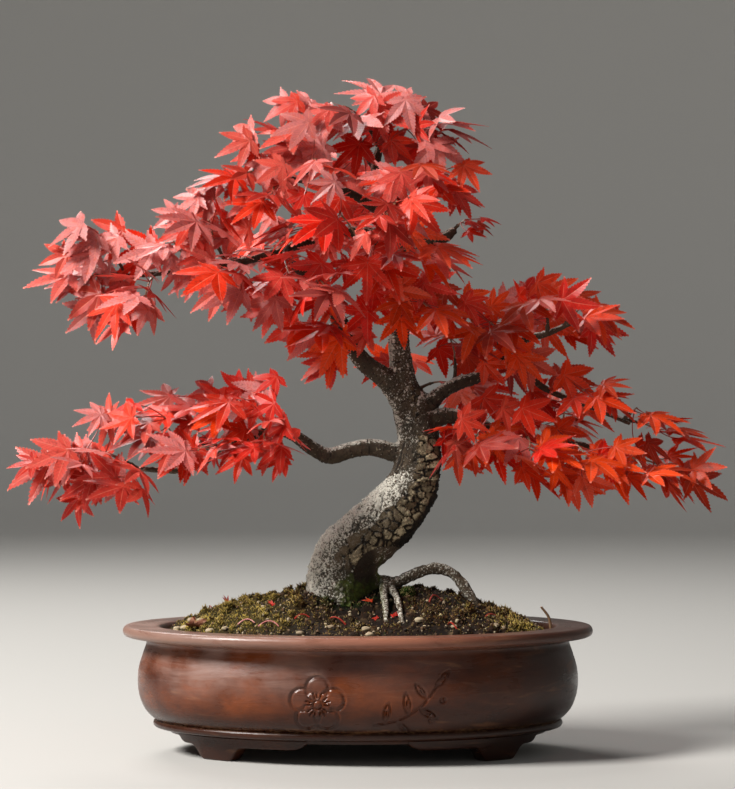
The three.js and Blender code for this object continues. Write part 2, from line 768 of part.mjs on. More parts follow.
// Adds a leaf on an opening of the body, where it clears the body itself and all that is placed already.
// The opening is closed where no leaf fits.
function growLeaf(name, body, opening, root, stemDir, sign, size, random) {
  const side = stemDir.clone().cross(UP).setZ(0).normalize().multiplyScalar(sign);
  for (let attempt = 0; attempt < TRIES; attempt++) {
    const lobes = random() < SEVEN_LOBED_SHARE ? SEVEN_LOBES : FIVE_LOBES;
    const tired = attempt / TRIES;
    const length = LEAF_LENGTH * size * mix(0.85, 1.15, random()) * (1 - 0.25 * tired);
    const frame = leafFrame(root, stemDir, side, 1 + 2 * tired, random);
    const blade = bladeMesh(frame, lobes, length);
    const shift = body.points.length;
    const raised = (ids) => ids.map((i) => i + shift);
    body.points.push(...blade.points);
    const triangles = blade.triangles.map(raised);
    triangles.push(...tubeBetween(body.points, opening, raised(blade.opening)));
    const probe = () => leafProbe(frame, root, lobes, length, CLEARANCE);
    if (!body.isCrossedBy(triangles) && isClear(probe(), name)) {
      body.add(triangles);
      return;
    }
    body.points.length = shift;
  }
  body.add([opening]);
}

// A leafy shoot, one closed body. The three-sided stem forks in several places: a petiole leaves on each
// side, and the stem goes on below them, to the leaf at its tip.
function makeShoot(name, curve, random, size) {
  const from = WOODY_SHARE + GAP / curve.getLength();
  const at = (t) => curve.getPoint(mix(from, 1, t));
  const heading = (t) => at(Math.min(1, t + 0.05)).sub(at(Math.max(0, t - 0.05))).normalize();
  const radius = (t) => twigRadius(mix(from, 1, t)) * 1.1;
  const body = new Body();
  const ring = (t) => {
    const first = body.points.push(...ringAt(at(t), heading(t), radius(t))) - 3;
    return [first, first + 1, first + 2];
  };
  const openings = [];
  let open = ring(0);
  body.add([[open[0], open[2], open[1]]]);
  const room = Math.round(at(0).distanceTo(at(1)) / PAIR_SPACING);
  const pairs = THREE.MathUtils.clamp(room, 2, 5);
  for (let i = 0; i < pairs; i++) {
    const share = mix(0.22, 0.9, i / (pairs - 1));
    const next = ring(share);
    body.add(tubeBetween(body.points, open, next));
    const ahead = at(share).addScaledVector(heading(share), 2.2 * radius(share));
    ahead.addScaledVector(UP, 0.5);
    const fork = body.points.push(ahead) - 1;
    const [top, right, left] = next;
    openings.push([[top, right, fork], share, 1], [[left, top, fork], share, -1]);
    open = [right, left, fork];
  }
  openings.push([open, 1, 0]);
  for (const [opening, share, sign] of openings.reverse()) {
    growLeaf(name, body, opening, at(share), heading(share), sign, size, random);
  }
  const shoot = solidOf(geometryFrom(body.points, body.triangles));
  place(shoot, name);
  addNode(name, shoot, LEAF);
}

function build() {
  const random = seeded(SEED);
  const wood = [trunk.solid(0, RIDGE), ...roots.map((root) => root.solid(0, RIDGE))];
  for (const limb of Object.values(limbs)) wood.push(limb.solid());
  const twigs = [];
  for (const [limbName, tips] of Object.entries(TWIG_TIPS)) {
    tips.forEach(([x, y, z], i) => {
      const curve = twigCurve(limbs[limbName], vec(x, y, z));
      wood.push(tube((t) => curve.getPoint(t), twigRadius, 3, 1, { from: 0, to: WOODY_SHARE }));
      const size = limbName === 'spur' ? SPUR_LEAF_SIZE : 1;
      twigs.push({ name: `shoot_${limbName}_${i + 1}`, curve, size });
    });
  }
  const pot = makePot();
  addNode('pot', pot, STONEWARE);
  addNode('drain_screen_left', makeScreen(-DRAIN_OFFSET), PLASTIC_MESH);
  addNode('drain_screen_right', makeScreen(DRAIN_OFFSET), PLASTIC_MESH);
  const holes = [trunk.solid(GAP, RIDGE), ...roots.map((root) => root.solid(GAP, RIDGE))];
  addNode('soil', makeSoil(holes), SOIL);
  addNode('wood', joined(wood), BARK);
  wood.forEach((part) => place(part, 'wood'));
  place(pot, 'pot');
  for (const { name, curve } of twigs) {
    const span = { from: WOODY_SHARE, to: 1 };
    place(tube((t) => curve.getPoint(t), twigRadius, 3, 2, span), name);
  }
  for (const { name, curve, size } of twigs) makeShoot(name, curve, random, size);
}

build();

// The origin is under the middle of the whole, on the surface that the pot stands on.
const whole = new THREE.Box3().setFromObject(group);
const centre = whole.getCenter(new THREE.Vector3());
group.position.set(-centre.x, -centre.y, -whole.min.z);

export default group;
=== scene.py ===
# %% [markdown]
# # A maple bonsai in autumn red
#
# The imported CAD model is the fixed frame: it gives the real sizes and the place of every piece. This
# script grows the finished looks round it. The bonsai is a stoneware pot, a bed of soil with moss and
# grit, the wood of the tree, and its leaves.

# %% Load the frame
import json
import math
import random

import bpy
import numpy as np
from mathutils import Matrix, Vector, noise
from mathutils.bvhtree import BVHTree
from mathutils.kdtree import KDTree

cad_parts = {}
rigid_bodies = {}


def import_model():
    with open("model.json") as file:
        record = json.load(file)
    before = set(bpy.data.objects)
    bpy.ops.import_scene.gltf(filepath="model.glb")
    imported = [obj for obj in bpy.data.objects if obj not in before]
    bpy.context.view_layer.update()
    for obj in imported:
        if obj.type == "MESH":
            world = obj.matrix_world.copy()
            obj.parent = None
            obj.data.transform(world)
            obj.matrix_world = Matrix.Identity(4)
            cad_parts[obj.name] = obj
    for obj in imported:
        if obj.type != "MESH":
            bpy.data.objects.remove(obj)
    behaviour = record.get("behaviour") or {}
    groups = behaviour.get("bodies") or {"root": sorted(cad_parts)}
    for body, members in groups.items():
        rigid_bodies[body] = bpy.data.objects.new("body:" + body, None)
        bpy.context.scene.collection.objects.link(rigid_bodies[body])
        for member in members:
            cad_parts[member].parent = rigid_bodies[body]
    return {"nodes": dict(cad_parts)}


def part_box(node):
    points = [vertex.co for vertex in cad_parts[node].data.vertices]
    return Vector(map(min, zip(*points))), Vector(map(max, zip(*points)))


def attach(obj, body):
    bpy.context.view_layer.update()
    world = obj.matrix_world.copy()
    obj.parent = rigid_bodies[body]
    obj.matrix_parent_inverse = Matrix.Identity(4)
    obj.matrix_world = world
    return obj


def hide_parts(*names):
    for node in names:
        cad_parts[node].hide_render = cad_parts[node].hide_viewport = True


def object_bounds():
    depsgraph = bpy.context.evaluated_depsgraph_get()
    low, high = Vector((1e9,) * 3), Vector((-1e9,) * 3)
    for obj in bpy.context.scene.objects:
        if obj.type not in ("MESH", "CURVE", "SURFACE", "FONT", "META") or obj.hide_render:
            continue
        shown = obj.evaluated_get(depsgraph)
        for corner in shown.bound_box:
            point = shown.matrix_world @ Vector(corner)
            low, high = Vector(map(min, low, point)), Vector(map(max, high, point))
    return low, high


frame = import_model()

cad_low, cad_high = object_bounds()
print("CAD box, mm:", [round(1000 * (b - a), 1) for a, b in zip(cad_low, cad_high)])

# %% [markdown]
# ## One frame for all
#
# The CAD was drawn in millimetres round the middle of the pot, and so is everything here. `placed` turns
# such points into metres in the frame. The pot's box says where its middle lies.

# %% Millimetres round the pot's middle
MM = 0.001
pot_low, pot_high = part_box("pot")
POT_MIDDLE = np.array([(pot_low.x + pot_high.x) / 2, (pot_low.y + pot_high.y) / 2, 0.0])


def placed(points):
    """Points in millimetres round the pot's middle, as metres in the frame."""
    return np.asarray(points, float) * MM + POT_MIDDLE


def drawn(points):
    """Points of the frame in metres, as millimetres round the pot's middle."""
    return (np.asarray(points, float) - POT_MIDDLE) / MM


print("the pot's middle lies at", np.round(POT_MIDDLE / MM, 2), "mm")

# %% [markdown]
# ## Small tools for meshes
#
# Most pieces here are swept or turned from rings of points, because bark, clay and petioles are all
# round things with a changing section. A ring is a row of an array, and a strip of faces joins each ring
# to the next. Working with whole arrays keeps a piece of many thousand faces quick to make.


# %% Rings, strips and pieces
def strip_faces(rings, sides):
    """Quads that join each closed ring of points to the next one."""
    i, k = np.meshgrid(np.arange(rings - 1), np.arange(sides), indexing="ij")
    i, k = i.ravel(), k.ravel()
    following = (k + 1) % sides
    return np.stack([i * sides + k, i * sides + following, (i + 1) * sides + following,
                     (i + 1) * sides + k], axis=1)


def fan_faces(start, sides, centre, downwards=False):
    """Triangles that join a ring of points, from its start in the list, to one point in its middle."""
    first = start + np.arange(sides)
    after = start + (np.arange(sides) + 1) % sides
    pair = (after, first) if downwards else (first, after)
    return np.stack([*pair, np.full(sides, centre)], axis=1)


def circle(count):
    """Evenly spaced angles, once round."""
    return np.linspace(0, 2 * math.pi, count, endpoint=False)


def heading(degrees):
    """The flat direction at this angle."""
    return np.array([math.cos(math.radians(degrees)), math.sin(math.radians(degrees))])


def make_object(name, points, faces, smooth_angle=None):
    """A mesh object from arrays of points and of faces, or from lists of faces of several sizes."""
    mesh = bpy.data.meshes.new(name)
    lists = [f.tolist() if isinstance(f, np.ndarray) else f for f in faces]
    mesh.from_pydata(np.asarray(points, float).tolist(), [], [face for part in lists for face in part])
    mesh.validate()
    obj = bpy.data.objects.new(name, mesh)
    bpy.context.scene.collection.objects.link(obj)
    mesh.shade_smooth()
    if smooth_angle is not None:
        mesh.set_sharp_from_angle(angle=math.radians(smooth_angle))
    return obj


def vectors_of(mesh, kind="co"):
    """The places of a mesh's points as an array, or their normals."""
    flat = np.empty(len(mesh.vertices) * 3)
    mesh.vertices.foreach_get(kind, flat)
    return flat.reshape(-1, 3)


def apply_modifiers(obj):
    """Makes what the modifiers show the mesh of the piece itself."""
    mesh = bpy.data.meshes.new_from_object(obj.evaluated_get(bpy.context.evaluated_depsgraph_get()))
    obj.modifiers.clear()
    obj.data = mesh


def give_values(obj, name, values):
    """Stores one number at each point of a mesh, for its material to read."""
    attribute = obj.data.attributes.new(name, "FLOAT", "POINT")
    attribute.data.foreach_set("value", np.asarray(values, np.float32))


def finish_piece(obj, material, slot, *nodes):
    """Gives a piece its material and lets it stand for the CAD nodes it replaces. Its slot is not used."""
    obj.data.materials.append(material)
    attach(obj, "root")
    if nodes:
        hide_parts(*nodes)
    faces = sum(len(p.vertices) - 2 for p in obj.data.polygons)
    print(f"{obj.name}: {faces} triangles")


def unit(vectors):
    """Vectors of length one."""
    vectors = np.asarray(vectors, float)
    return vectors / np.maximum(np.linalg.norm(vectors, axis=-1, keepdims=True), 1e-12)


def dots(first, second):
    """The dot product of each pair of rows."""
    return np.einsum("ij,ij->i", first, second)


def bow(start, bend, end, t):
    """A place on the curve from start to end that a third place draws aside."""
    return (1 - t) ** 2 * start + 2 * t * (1 - t) * bend + t * t * end


def eased(x):
    """0 below 0, 1 above 1, and a smooth step between them."""
    x = np.clip(x, 0.0, 1.0)
    return x * x * (3 - 2 * x)


# %% [markdown]
# Clay, bark and earth all need an uneven surface. Blender's noise is smooth and the same on each run, so
# it can move real points, not only shade them.


# %% Noise at many points
def ripple(points, size, seed=0.0):
    """Smooth noise from about -1 to 1 at each point. Its bumps are about `size` across."""
    shift = Vector((seed * 17.3, seed * 5.1, seed * 9.7))
    return np.array([noise.noise(Vector(p) / size + shift) for p in points])


def cells(points, size, seed=0.0):
    """How far each point is from the edge of its cell, as a share of the cell, and the cell's number."""
    shift = Vector((seed * 3.9, seed * 8.3, seed * 1.7))
    edge = np.empty(len(points))
    number = np.empty(len(points))
    for i, p in enumerate(points):
        distances, centres = noise.voronoi(Vector(p) / size + shift)
        edge[i] = distances[1] - distances[0]
        number[i] = (centres[0].x * 12.99 + centres[0].y * 78.23 + centres[0].z * 37.7) % 1.0
    return edge, number


# %% [markdown]
# ## Small tools for materials
#
# A material is a board of nodes. `add_node` puts one on the board and wires it in the same line, so that
# a finish reads from top to bottom like a recipe.


# %% Nodes and groups
def feed(tree, node, name, value):
    """Gives an input a number or a colour, or wires it to the socket that feeds it."""
    if isinstance(value, bpy.types.NodeSocket):
        tree.links.new(value, node.inputs[name])
    else:
        node.inputs[name].default_value = value


def add_node(tree, kind, inputs=None, **settings):
    """Adds a node with its inputs."""
    node = tree.nodes.new("ShaderNode" + kind)
    for name, value in settings.items():
        setattr(node, name, value)
    for name, value in (inputs or {}).items():
        feed(tree, node, name, value)
    return node


def rgb(red, green, blue):
    """A colour given as 0 to 255 on a screen, in the linear numbers that shaders use."""
    def linear(c):
        c = c / 255
        return c / 12.92 if c <= 0.04045 else ((c + 0.055) / 1.055) ** 2.4
    return (linear(red), linear(green), linear(blue), 1.0)


def blend(tree, share, first, second):
    """A mix of two colours."""
    return add_node(tree, "Mix", {0: share, 6: first, 7: second}, data_type="RGBA").outputs[2]


def spread(tree, value, low, high, to_low=0.0, to_high=1.0):
    """A value stretched smoothly from one range to another."""
    return add_node(tree, "MapRange", {"Value": value, "From Min": low, "From Max": high, "To Min": to_low,
                                       "To Max": to_high}, interpolation_type="SMOOTHSTEP").outputs[0]


def maths(tree, operation, first, second=0.0):
    """One sum of two values."""
    return add_node(tree, "Math", {0: first, 1: second}, operation=operation).outputs[0]


def times(tree, first, second):
    return maths(tree, "MULTIPLY", first, second)


def plus(tree, first, second):
    return maths(tree, "ADD", first, second)


def stored(tree, name):
    """The numbers that a mesh stores under this name."""
    return add_node(tree, "Attribute", attribute_name=name, attribute_type="GEOMETRY").outputs["Fac"]


def object_place(tree):
    """Where a point lies on its own piece, in metres."""
    return add_node(tree, "TexCoord").outputs["Object"]


def stretch(tree, place, factors):
    """A place with its three parts stretched."""
    return add_node(tree, "VectorMath", {0: place, 1: factors}, operation="MULTIPLY").outputs[0]


def cloudy(tree, place, scale, detail, roughness=0.5, distortion=0.0):
    """Cloudy noise from 0 to 1."""
    return add_node(tree, "TexNoise", {"Vector": place, "Scale": scale, "Detail": detail,
                                       "Roughness": roughness, "Distortion": distortion}).outputs["Fac"]


def new_group(name, inputs, outputs):
    """A node group with named inputs and outputs, and the two ends of its board."""
    group = bpy.data.node_groups.new(name, "ShaderNodeTree")
    for label, kind, value in inputs:
        socket = group.interface.new_socket(label, in_out="INPUT", socket_type="NodeSocket" + kind)
        if value is not None:
            socket.default_value = value
    for label, kind in outputs:
        group.interface.new_socket(label, in_out="OUTPUT", socket_type="NodeSocket" + kind)
    return group, group.nodes.new("NodeGroupInput"), group.nodes.new("NodeGroupOutput")


def use_group(tree, group, inputs):
    """Places a group on a board with its own values."""
    return add_node(tree, "Group", inputs, node_tree=group)


def new_material(name, **constants):
    """A material with one Principled shader. Constants go straight on the shader's own sockets."""
    material = bpy.data.materials.new(name)
    material.use_nodes = True
    tree = material.node_tree
    tree.nodes.clear()
    shader = add_node(tree, "BsdfPrincipled")
    for label, value in constants.items():
        shader.inputs[label.replace("_", " ")].default_value = value
    add_node(tree, "OutputMaterial", {"Surface": shader.outputs[0]})
    return material, tree, shader


# %% [markdown]
# Two effects serve most finishes of this bonsai. *Mottle* drifts between three colours in soft patches,
# as fired clay, bark and earth do. *Grain* is a fine roughness in relief, from pits and cloudy noise.
# Both read the object's own coordinates, so they stay with the piece from any side.


# %% The two shared groups
def make_mottle():
    group, given, result = new_group(
        "mottle",
        [("Patch Size", "Float", 10.0), ("Stretch", "Vector", None), ("First", "Color", None),
         ("Second", "Color", None), ("Third", "Color", None), ("Hardness", "Float", 0.5)],
        [("Color", "Color")])
    place = stretch(group, object_place(group), given.outputs["Stretch"])
    scale = maths(group, "DIVIDE", 1000.0, given.outputs["Patch Size"])
    broad = cloudy(group, place, scale, 5.0, 0.6)
    small = cloudy(group, place, times(group, scale, 2.7), 4.0, 0.65, 0.4)
    half = times(group, maths(group, "SUBTRACT", 1.0, given.outputs["Hardness"]), 0.25)
    low = maths(group, "SUBTRACT", 0.5, half)
    high = plus(group, plus(group, 0.5, half), 0.01)
    pair = blend(group, spread(group, broad, low, high), given.outputs["First"], given.outputs["Second"])
    share = times(group, spread(group, small, low, high), 0.6)
    feed(group, result, "Color", blend(group, share, pair, given.outputs["Third"]))
    return group


def make_grain():
    group, given, result = new_group(
        "grain", [("Grain Size", "Float", 1.0), ("Pits", "Float", 0.5)],
        [("Height", "Float"), ("Specks", "Float")])
    place = object_place(group)
    scale = maths(group, "DIVIDE", 1000.0, given.outputs["Grain Size"])
    pits = add_node(group, "TexVoronoi", {"Vector": place, "Scale": scale}, feature="F1").outputs["Distance"]
    share = given.outputs["Pits"]
    smooth_share = maths(group, "SUBTRACT", 1.0, share)
    feed(group, result, "Height", plus(group, times(group, spread(group, pits, 0.0, 0.45), share),
                                       times(group, cloudy(group, place, scale, 3.0, 0.7), smooth_share)))
    feed(group, result, "Specks", spread(group, pits, 0.28, 0.12))
    return group


MOTTLE = make_mottle()
GRAIN = make_grain()


def mottled(tree, patch_size, stretched, first, second, third, hardness):
    """The colour of a mottle with patches of this size in millimetres."""
    return use_group(tree, MOTTLE, {"Patch Size": patch_size, "Stretch": stretched, "First": first,
                                    "Second": second, "Third": third, "Hardness": hardness}).outputs["Color"]


def grained(tree, grain_size, pits):
    """The height of a grain of this size in millimetres, and its specks."""
    return use_group(tree, GRAIN, {"Grain Size": grain_size, "Pits": pits}).outputs


def add_relief(tree, shader, height, depth):
    """Wires a height in millimetres of depth to the shader's normal."""
    bump = add_node(tree, "Bump", {"Height": height, "Distance": depth * MM, "Strength": 1.0})
    feed(tree, shader, "Normal", bump.outputs[0])


print("groups:", [group.name for group in bpy.data.node_groups])

# %% [markdown]
# ## The pot
#
# The real pot is one thick wall of red stoneware, pressed in a mould: an oval bowl with a flared rim, a
# bead round its foot and four bracket feet. It could be carved with a boolean or bent from a cylinder. A
# turned section is truer, because the mould was turned too: one profile goes round an oval, and the wall
# keeps its width all the way.

# %% The pot's sizes
RIM_LENGTH = 320.0
RIM_DEPTH = 236.0
FLOOR_UNDER = 14.0
FLOOR_TOP = 21.0
OVAL_STEP = (RIM_LENGTH - RIM_DEPTH) / 2
DRAIN_OFFSET = 62.0
DRAIN_RADIUS = 10.0


def on_oval(half_length, angle, z):
    """A point of the oval ring with this half-length. Its half-depth is less by a fixed step."""
    half_length, angle = np.broadcast_arrays(np.asarray(half_length, float), angle)
    return np.stack([half_length * np.cos(angle), (half_length - OVAL_STEP) * np.sin(angle),
                     np.broadcast_to(z, angle.shape)], axis=-1)


def rounded(corners, steps):
    """A smooth line through the corners: a Catmull-Rom curve in points of about even spacing."""
    corners = np.asarray(corners, float)
    padded = np.vstack([2 * corners[0] - corners[1], corners, 2 * corners[-1] - corners[-2]])
    line = []
    for i, count in enumerate(steps):
        p0, p1, p2, p3 = padded[i:i + 4]
        for t in np.arange(count) / count:
            line.append(0.5 * ((2 * p1) + (p2 - p0) * t + (2 * p0 - 5 * p1 + 4 * p2 - p3) * t ** 2
                               + (3 * p1 - p0 - 3 * p2 + p3) * t ** 3))
    line.append(corners[-1])
    return np.array(line)


# %% [markdown]
# The profile is drawn in four strokes: the bead, the belly up to the neck, the flared rim with its rolled
# lip, and the inside of the wall. The belly gets the finest steps, because the ornament is carved there.

# %% The pot's profile
BEAD = [(128, 14), (129.2, 16.6), (133, 17.1), (137, 17.3), (138.9, 18.3), (139.5, 20), (138.9, 21.6),
        (137.6, 22.6)]
BELLY = [(137.6, 22.6), (141, 25), (145.3, 30), (148.4, 37), (150, 46), (149.4, 57), (146.4, 67.5),
         (144.3, 73.5), (144.2, 76)]
RIM = [(144.2, 76), (147.5, 77.3), (154, 78.2), (158.4, 79.2), (160, 81.3), (160, 83.4), (158.6, 85.5),
       (156, 86), (147, 85.7), (138.5, 85.8), (135.6, 85.2), (134.6, 83)]
INSIDE = [(134.6, 83), (135.5, 60), (140.8, 46), (135, 29), (126, 21)]
profile = np.vstack([
    [(0.0, 14.0), (60.0, 14.0), (118.0, 14.0)],
    rounded(BEAD, [2] * 7)[:-1],
    rounded(BELLY, [4, 7, 9, 12, 14, 12, 6, 3])[:-1],
    rounded(RIM, [2, 2, 3, 3, 2, 3, 2, 4, 4, 2, 2])[:-1],
    rounded(INSIDE, [3, 2, 2, 2]),
    [(60.0, 21.0), (0.0, 21.0)],
])
print("profile points:", len(profile))

# %% [markdown]
# ## The ornament
#
# The front carries two small carved marks. They are plain plant motifs: a five-petalled blossom and a
# leafy twig. Each is a set of strokes, and the clay sinks where a point lies close to a stroke, as
# under a loop tool, with a low burr thrown up on both sides.


# %% The carved strokes
def arc(middle, radius, start, end, steps=14):
    """Points on an arc, with angles in degrees."""
    angles = np.radians(np.linspace(start, end, steps))
    return np.stack([middle[0] + radius * np.cos(angles), middle[1] + radius * np.sin(angles)], axis=1)


def blossom(middle, size):
    """Strokes of a blossom: five round petals, a ring in the middle and short stamens."""
    strokes = [(arc(middle, 0.16 * size, 0, 360), 0.8)]
    for i in range(5):
        turn = 90 + 72 * i
        petal = middle + 0.58 * size * heading(turn)
        strokes.append((arc(petal, 0.4 * size, turn - 122, turn + 122), 1.0))
        for side in (-20, 0, 20):
            way = heading(turn + side)
            strokes.append((np.stack([middle + 0.24 * size * way, middle + 0.44 * size * way]), 0.5))
    return strokes


def leafy_twig(middle, size):
    """Strokes of a leafy twig: a curved stalk with an almond-shaped leaf at each joint, and round buds."""
    def curve(start, bend, end, steps=12):
        return bow(start, bend, end, np.linspace(0, 1, steps)[:, None])

    def point(x, y):
        return middle + size * np.array([x, y])
    stalk = curve(point(-1.15, -0.62), point(0.1, -0.55), point(0.75, 0.5), 24)
    strokes = [(stalk, 0.9)]
    for place, turn, length in ((3, 78, 0.62), (7, -52, 0.6), (11, 96, 0.66), (15, -30, 0.62),
                                (19, 128, 0.56), (23, 52, 0.62)):
        way = heading(turn)
        across = heading(turn + 90) * 0.30 * size * length
        base = stalk[place] + 0.05 * size * way
        tip = base + size * length * way
        for side in (1, -1):
            strokes.append((curve(base, (base + tip) / 2 + side * across, tip), 0.75))
        strokes.append((np.stack([base, base + 0.6 * (tip - base)]), 0.45))
    for x, y in ((-0.62, -0.98), (0.62, -0.52), (0.98, 0.12)):
        strokes.append((arc(point(x, y), 0.07 * size, 0, 360, 8), 0.8))
    return strokes


STROKES = blossom(np.array([-26.0, 42.0]), 18.5) + leafy_twig(np.array([35.0, 42.0]), 21.0)
CARVED_DEPTH = 1.1
print("carved strokes:", len(STROKES))


# %% How deep the clay is carved
def stroke_distance(points, line):
    """The distance from each point to a line of several segments."""
    best = np.full(len(points), 1e9)
    for a, b in zip(line[:-1], line[1:]):
        along = b - a
        t = np.clip((points - a) @ along / max(along @ along, 1e-9), 0, 1)
        best = np.minimum(best, np.linalg.norm(points - a - t[:, None] * along, axis=1))
    return best


def carved(points):
    """How far each point of the front wall sinks, by its x and z."""
    depth = np.zeros(len(points))
    burr = np.zeros(len(points))
    for line, width in STROKES:
        away = stroke_distance(points, line) / width
        depth = np.maximum(depth, eased(1.35 - away))
        burr = np.maximum(burr, np.exp(-((away - 1.9) / 0.5) ** 2))
    return CARVED_DEPTH * depth - 0.16 * burr * (1 - depth)


# %% [markdown]
# The turned wall needs fine columns only where the ornament is. So the angles round the oval are spaced
# closely at the front and widely elsewhere.

# %% Turning the pot
FINE_COLUMN = 0.8
COARSE_COLUMN = 3.6
ORNAMENT_FROM = -48.0
ORNAMENT_TO = 62.0
ORNAMENT_LOW = 22
ORNAMENT_HIGH = 66
OUTER_RINGS = 75
BELLY_HALF = 150.0

front_from = math.acos(ORNAMENT_FROM / BELLY_HALF)
front_to = math.acos(ORNAMENT_TO / BELLY_HALF)
fine = np.linspace(-front_from, -front_to, int((ORNAMENT_TO - ORNAMENT_FROM) / FINE_COLUMN))
rest = 2 * math.pi - (front_from - front_to)
coarse = np.linspace(-front_to, -front_to + rest, int(rest * BELLY_HALF * 0.9 / COARSE_COLUMN))[1:-1]
columns = np.concatenate([fine, coarse])

inner = profile[1:-1]
rings = np.stack([on_oval(w, columns, z) for w, z in inner])
wall = rings.reshape(-1, 3)
outwards = np.stack([np.cos(columns), np.sin(columns), np.zeros(len(columns))], axis=1)
outwards = np.tile(outwards, (len(inner), 1))
in_front = (wall[:, 1] < 0) & (wall[:, 2] > ORNAMENT_LOW) & (wall[:, 2] < ORNAMENT_HIGH)
in_front &= np.abs(wall[:, 0]) < ORNAMENT_TO + 8
in_front &= np.repeat(np.arange(len(inner)) < OUTER_RINGS, len(columns))
sunk = np.zeros(len(wall))
sunk[in_front] = carved(wall[in_front][:, [0, 2]])
waver = 0.22 * ripple(wall, 46.0, 3) + 0.05 * ripple(wall, 9.0, 4)
wall = wall + outwards * (waver * (wall[:, 2] > FLOOR_UNDER + 2) - sunk)[:, None]

pot_points = np.vstack([wall, [(0, 0, FLOOR_UNDER), (0, 0, FLOOR_TOP)]])
last_ring = (len(inner) - 1) * len(columns)
pot_faces = [strip_faces(len(inner), len(columns)),
             fan_faces(0, len(columns), len(wall), downwards=True),
             fan_faces(last_ring, len(columns), len(wall) + 1)]
print("turned wall:", len(wall), "points")

# %% [markdown]
# A bracket foot is a curved strip under the wall. Its lower edge drops from a long skirt to a short toe
# that carries the pot. The strip is swept round the oval with a rounded section, so that the toe's edges
# catch the light as pressed clay does.

# %% The feet
FEET = [(-41, -1, 0.0), (-139, 1, 0.0), (139, -1, 0.0), (41, 1, 0.3)]
FOOT_EDGE = [(-34, 14.2), (-32.6, 11.6), (-30.5, 9.9), (-27, 9.5), (-14, 9.5), (-11, 9.2), (-9.6, 7.6),
             (-8.2, 4.2), (-7.0, 1.0), (-6.2, 0.1), (-5.2, 0), (5.2, 0), (6.2, 0.1), (7.0, 1.0), (8.2, 4.2),
             (9.6, 7.6), (11, 9.2), (13, 9.5), (16.4, 9.6), (18.6, 11.0), (20, 14.2)]
FOOT_OUTER = 129.0
FOOT_INNER = 114.0
FOOT_LEAN = 0.22
FOOT_ROUND = 1.3


def foot_section(angle, z):
    """The section of the strip at one angle, from its inner top round its lower edge to its outer top."""
    lean = (FLOOR_UNDER - z) * FOOT_LEAN
    r = min(FOOT_ROUND, 0.45 * (FLOOR_UNDER + 1.5 - z))
    outline = [(FOOT_INNER, FLOOR_UNDER + 1.5), (FOOT_INNER + 2, z + r), (FOOT_INNER + 2.4, z + 0.35 * r),
               (FOOT_INNER + 3 + r, z), (FOOT_OUTER - lean - r, z),
               (FOOT_OUTER - lean - 0.35 * r, z + 0.25 * r), (FOOT_OUTER - lean, z + r),
               (FOOT_OUTER - 0.1, FLOOR_UNDER + 1.5)]
    return np.array([on_oval(w, angle, height) for w, height in outline])


foot_turns = np.arange(-34, 20.01, 0.5)
foot_heights = np.interp(foot_turns, *zip(*FOOT_EDGE))
for centre, side, sole in FEET:
    base = len(pot_points)
    sections = [foot_section(math.radians(centre - side * turn), max(z, sole))
                for turn, z in zip(foot_turns, foot_heights)]
    sides = len(sections[0])
    pot_points = np.vstack([pot_points, *sections])
    faces = strip_faces(len(sections), sides) + base
    ends = [[base + k for k in range(sides)],
            [base + len(foot_turns) * sides - 1 - k for k in range(sides)]]
    if side < 0:
        faces = faces[:, ::-1]
        ends = [end[::-1] for end in ends]
    pot_faces += [faces, ends]

pot = make_object("stoneware_pot", placed(pot_points), pot_faces, smooth_angle=50)
print("pot with feet:", len(pot_points), "points")

# %% [markdown]
# Water leaves through two round holes in the floor. They are drilled with a boolean, as a potter cuts
# them with a tube.

# %% Drilling the drain holes
DRILL_SIDES = 48
drills = []
for x in (-DRAIN_OFFSET, DRAIN_OFFSET):
    angles = circle(DRILL_SIDES)
    ring = np.stack([x + DRAIN_RADIUS * np.cos(angles), DRAIN_RADIUS * np.sin(angles)], axis=1)
    drill_points = np.vstack([np.column_stack([ring, np.full(DRILL_SIDES, z)]) for z in (10.0, 26.0)])
    ends = [list(range(DRILL_SIDES))[::-1], list(range(DRILL_SIDES, 2 * DRILL_SIDES))]
    drills.append(make_object("drill", placed(drill_points), [strip_faces(2, DRILL_SIDES), ends]))
for drill in drills:
    cut = pot.modifiers.new("drain", "BOOLEAN")
    cut.operation = "DIFFERENCE"
    cut.solver = "FAST"
    cut.object = drill
apply_modifiers(pot)
for drill in drills:
    bpy.data.objects.remove(drill)
print("drilled:", len(pot.data.polygons), "faces")

# %% [markdown]
# ## Stoneware
#
# The clay is a dark red-brown, fired with a satin skin. Where the flame reached it, it is orange. The
# shoulders and the rim carry a mauve-grey painted sheen, a painted reflection that is strongest on the
# left, toward the light, and the right side, away from it, is darkened to near black as painted shade.
# The foot is darker, and dust and old lime sit in the groove over the bead. Each of these is a mask over
# the same clay.

# %% The stoneware material
stoneware, tree, shader = new_material("stoneware", Roughness=0.4, Specular_IOR_Level=0.36)
clay = mottled(tree, 58.0, (1, 1, 2.0), rgb(66, 28, 15), rgb(130, 62, 22), rgb(52, 22, 10), 0.15)
place = object_place(tree)
spot_x, _, height = add_node(tree, "SeparateXYZ", {0: place}).outputs
brush_marks = cloudy(tree, stretch(tree, place, (1.0, 1.0, 7.0)), 24.0, 7.0, 0.65, 0.9)
sheen_noise = cloudy(tree, place, 24.0, 6.0)
toward_left = spread(tree, spot_x, 0.03, -0.12)
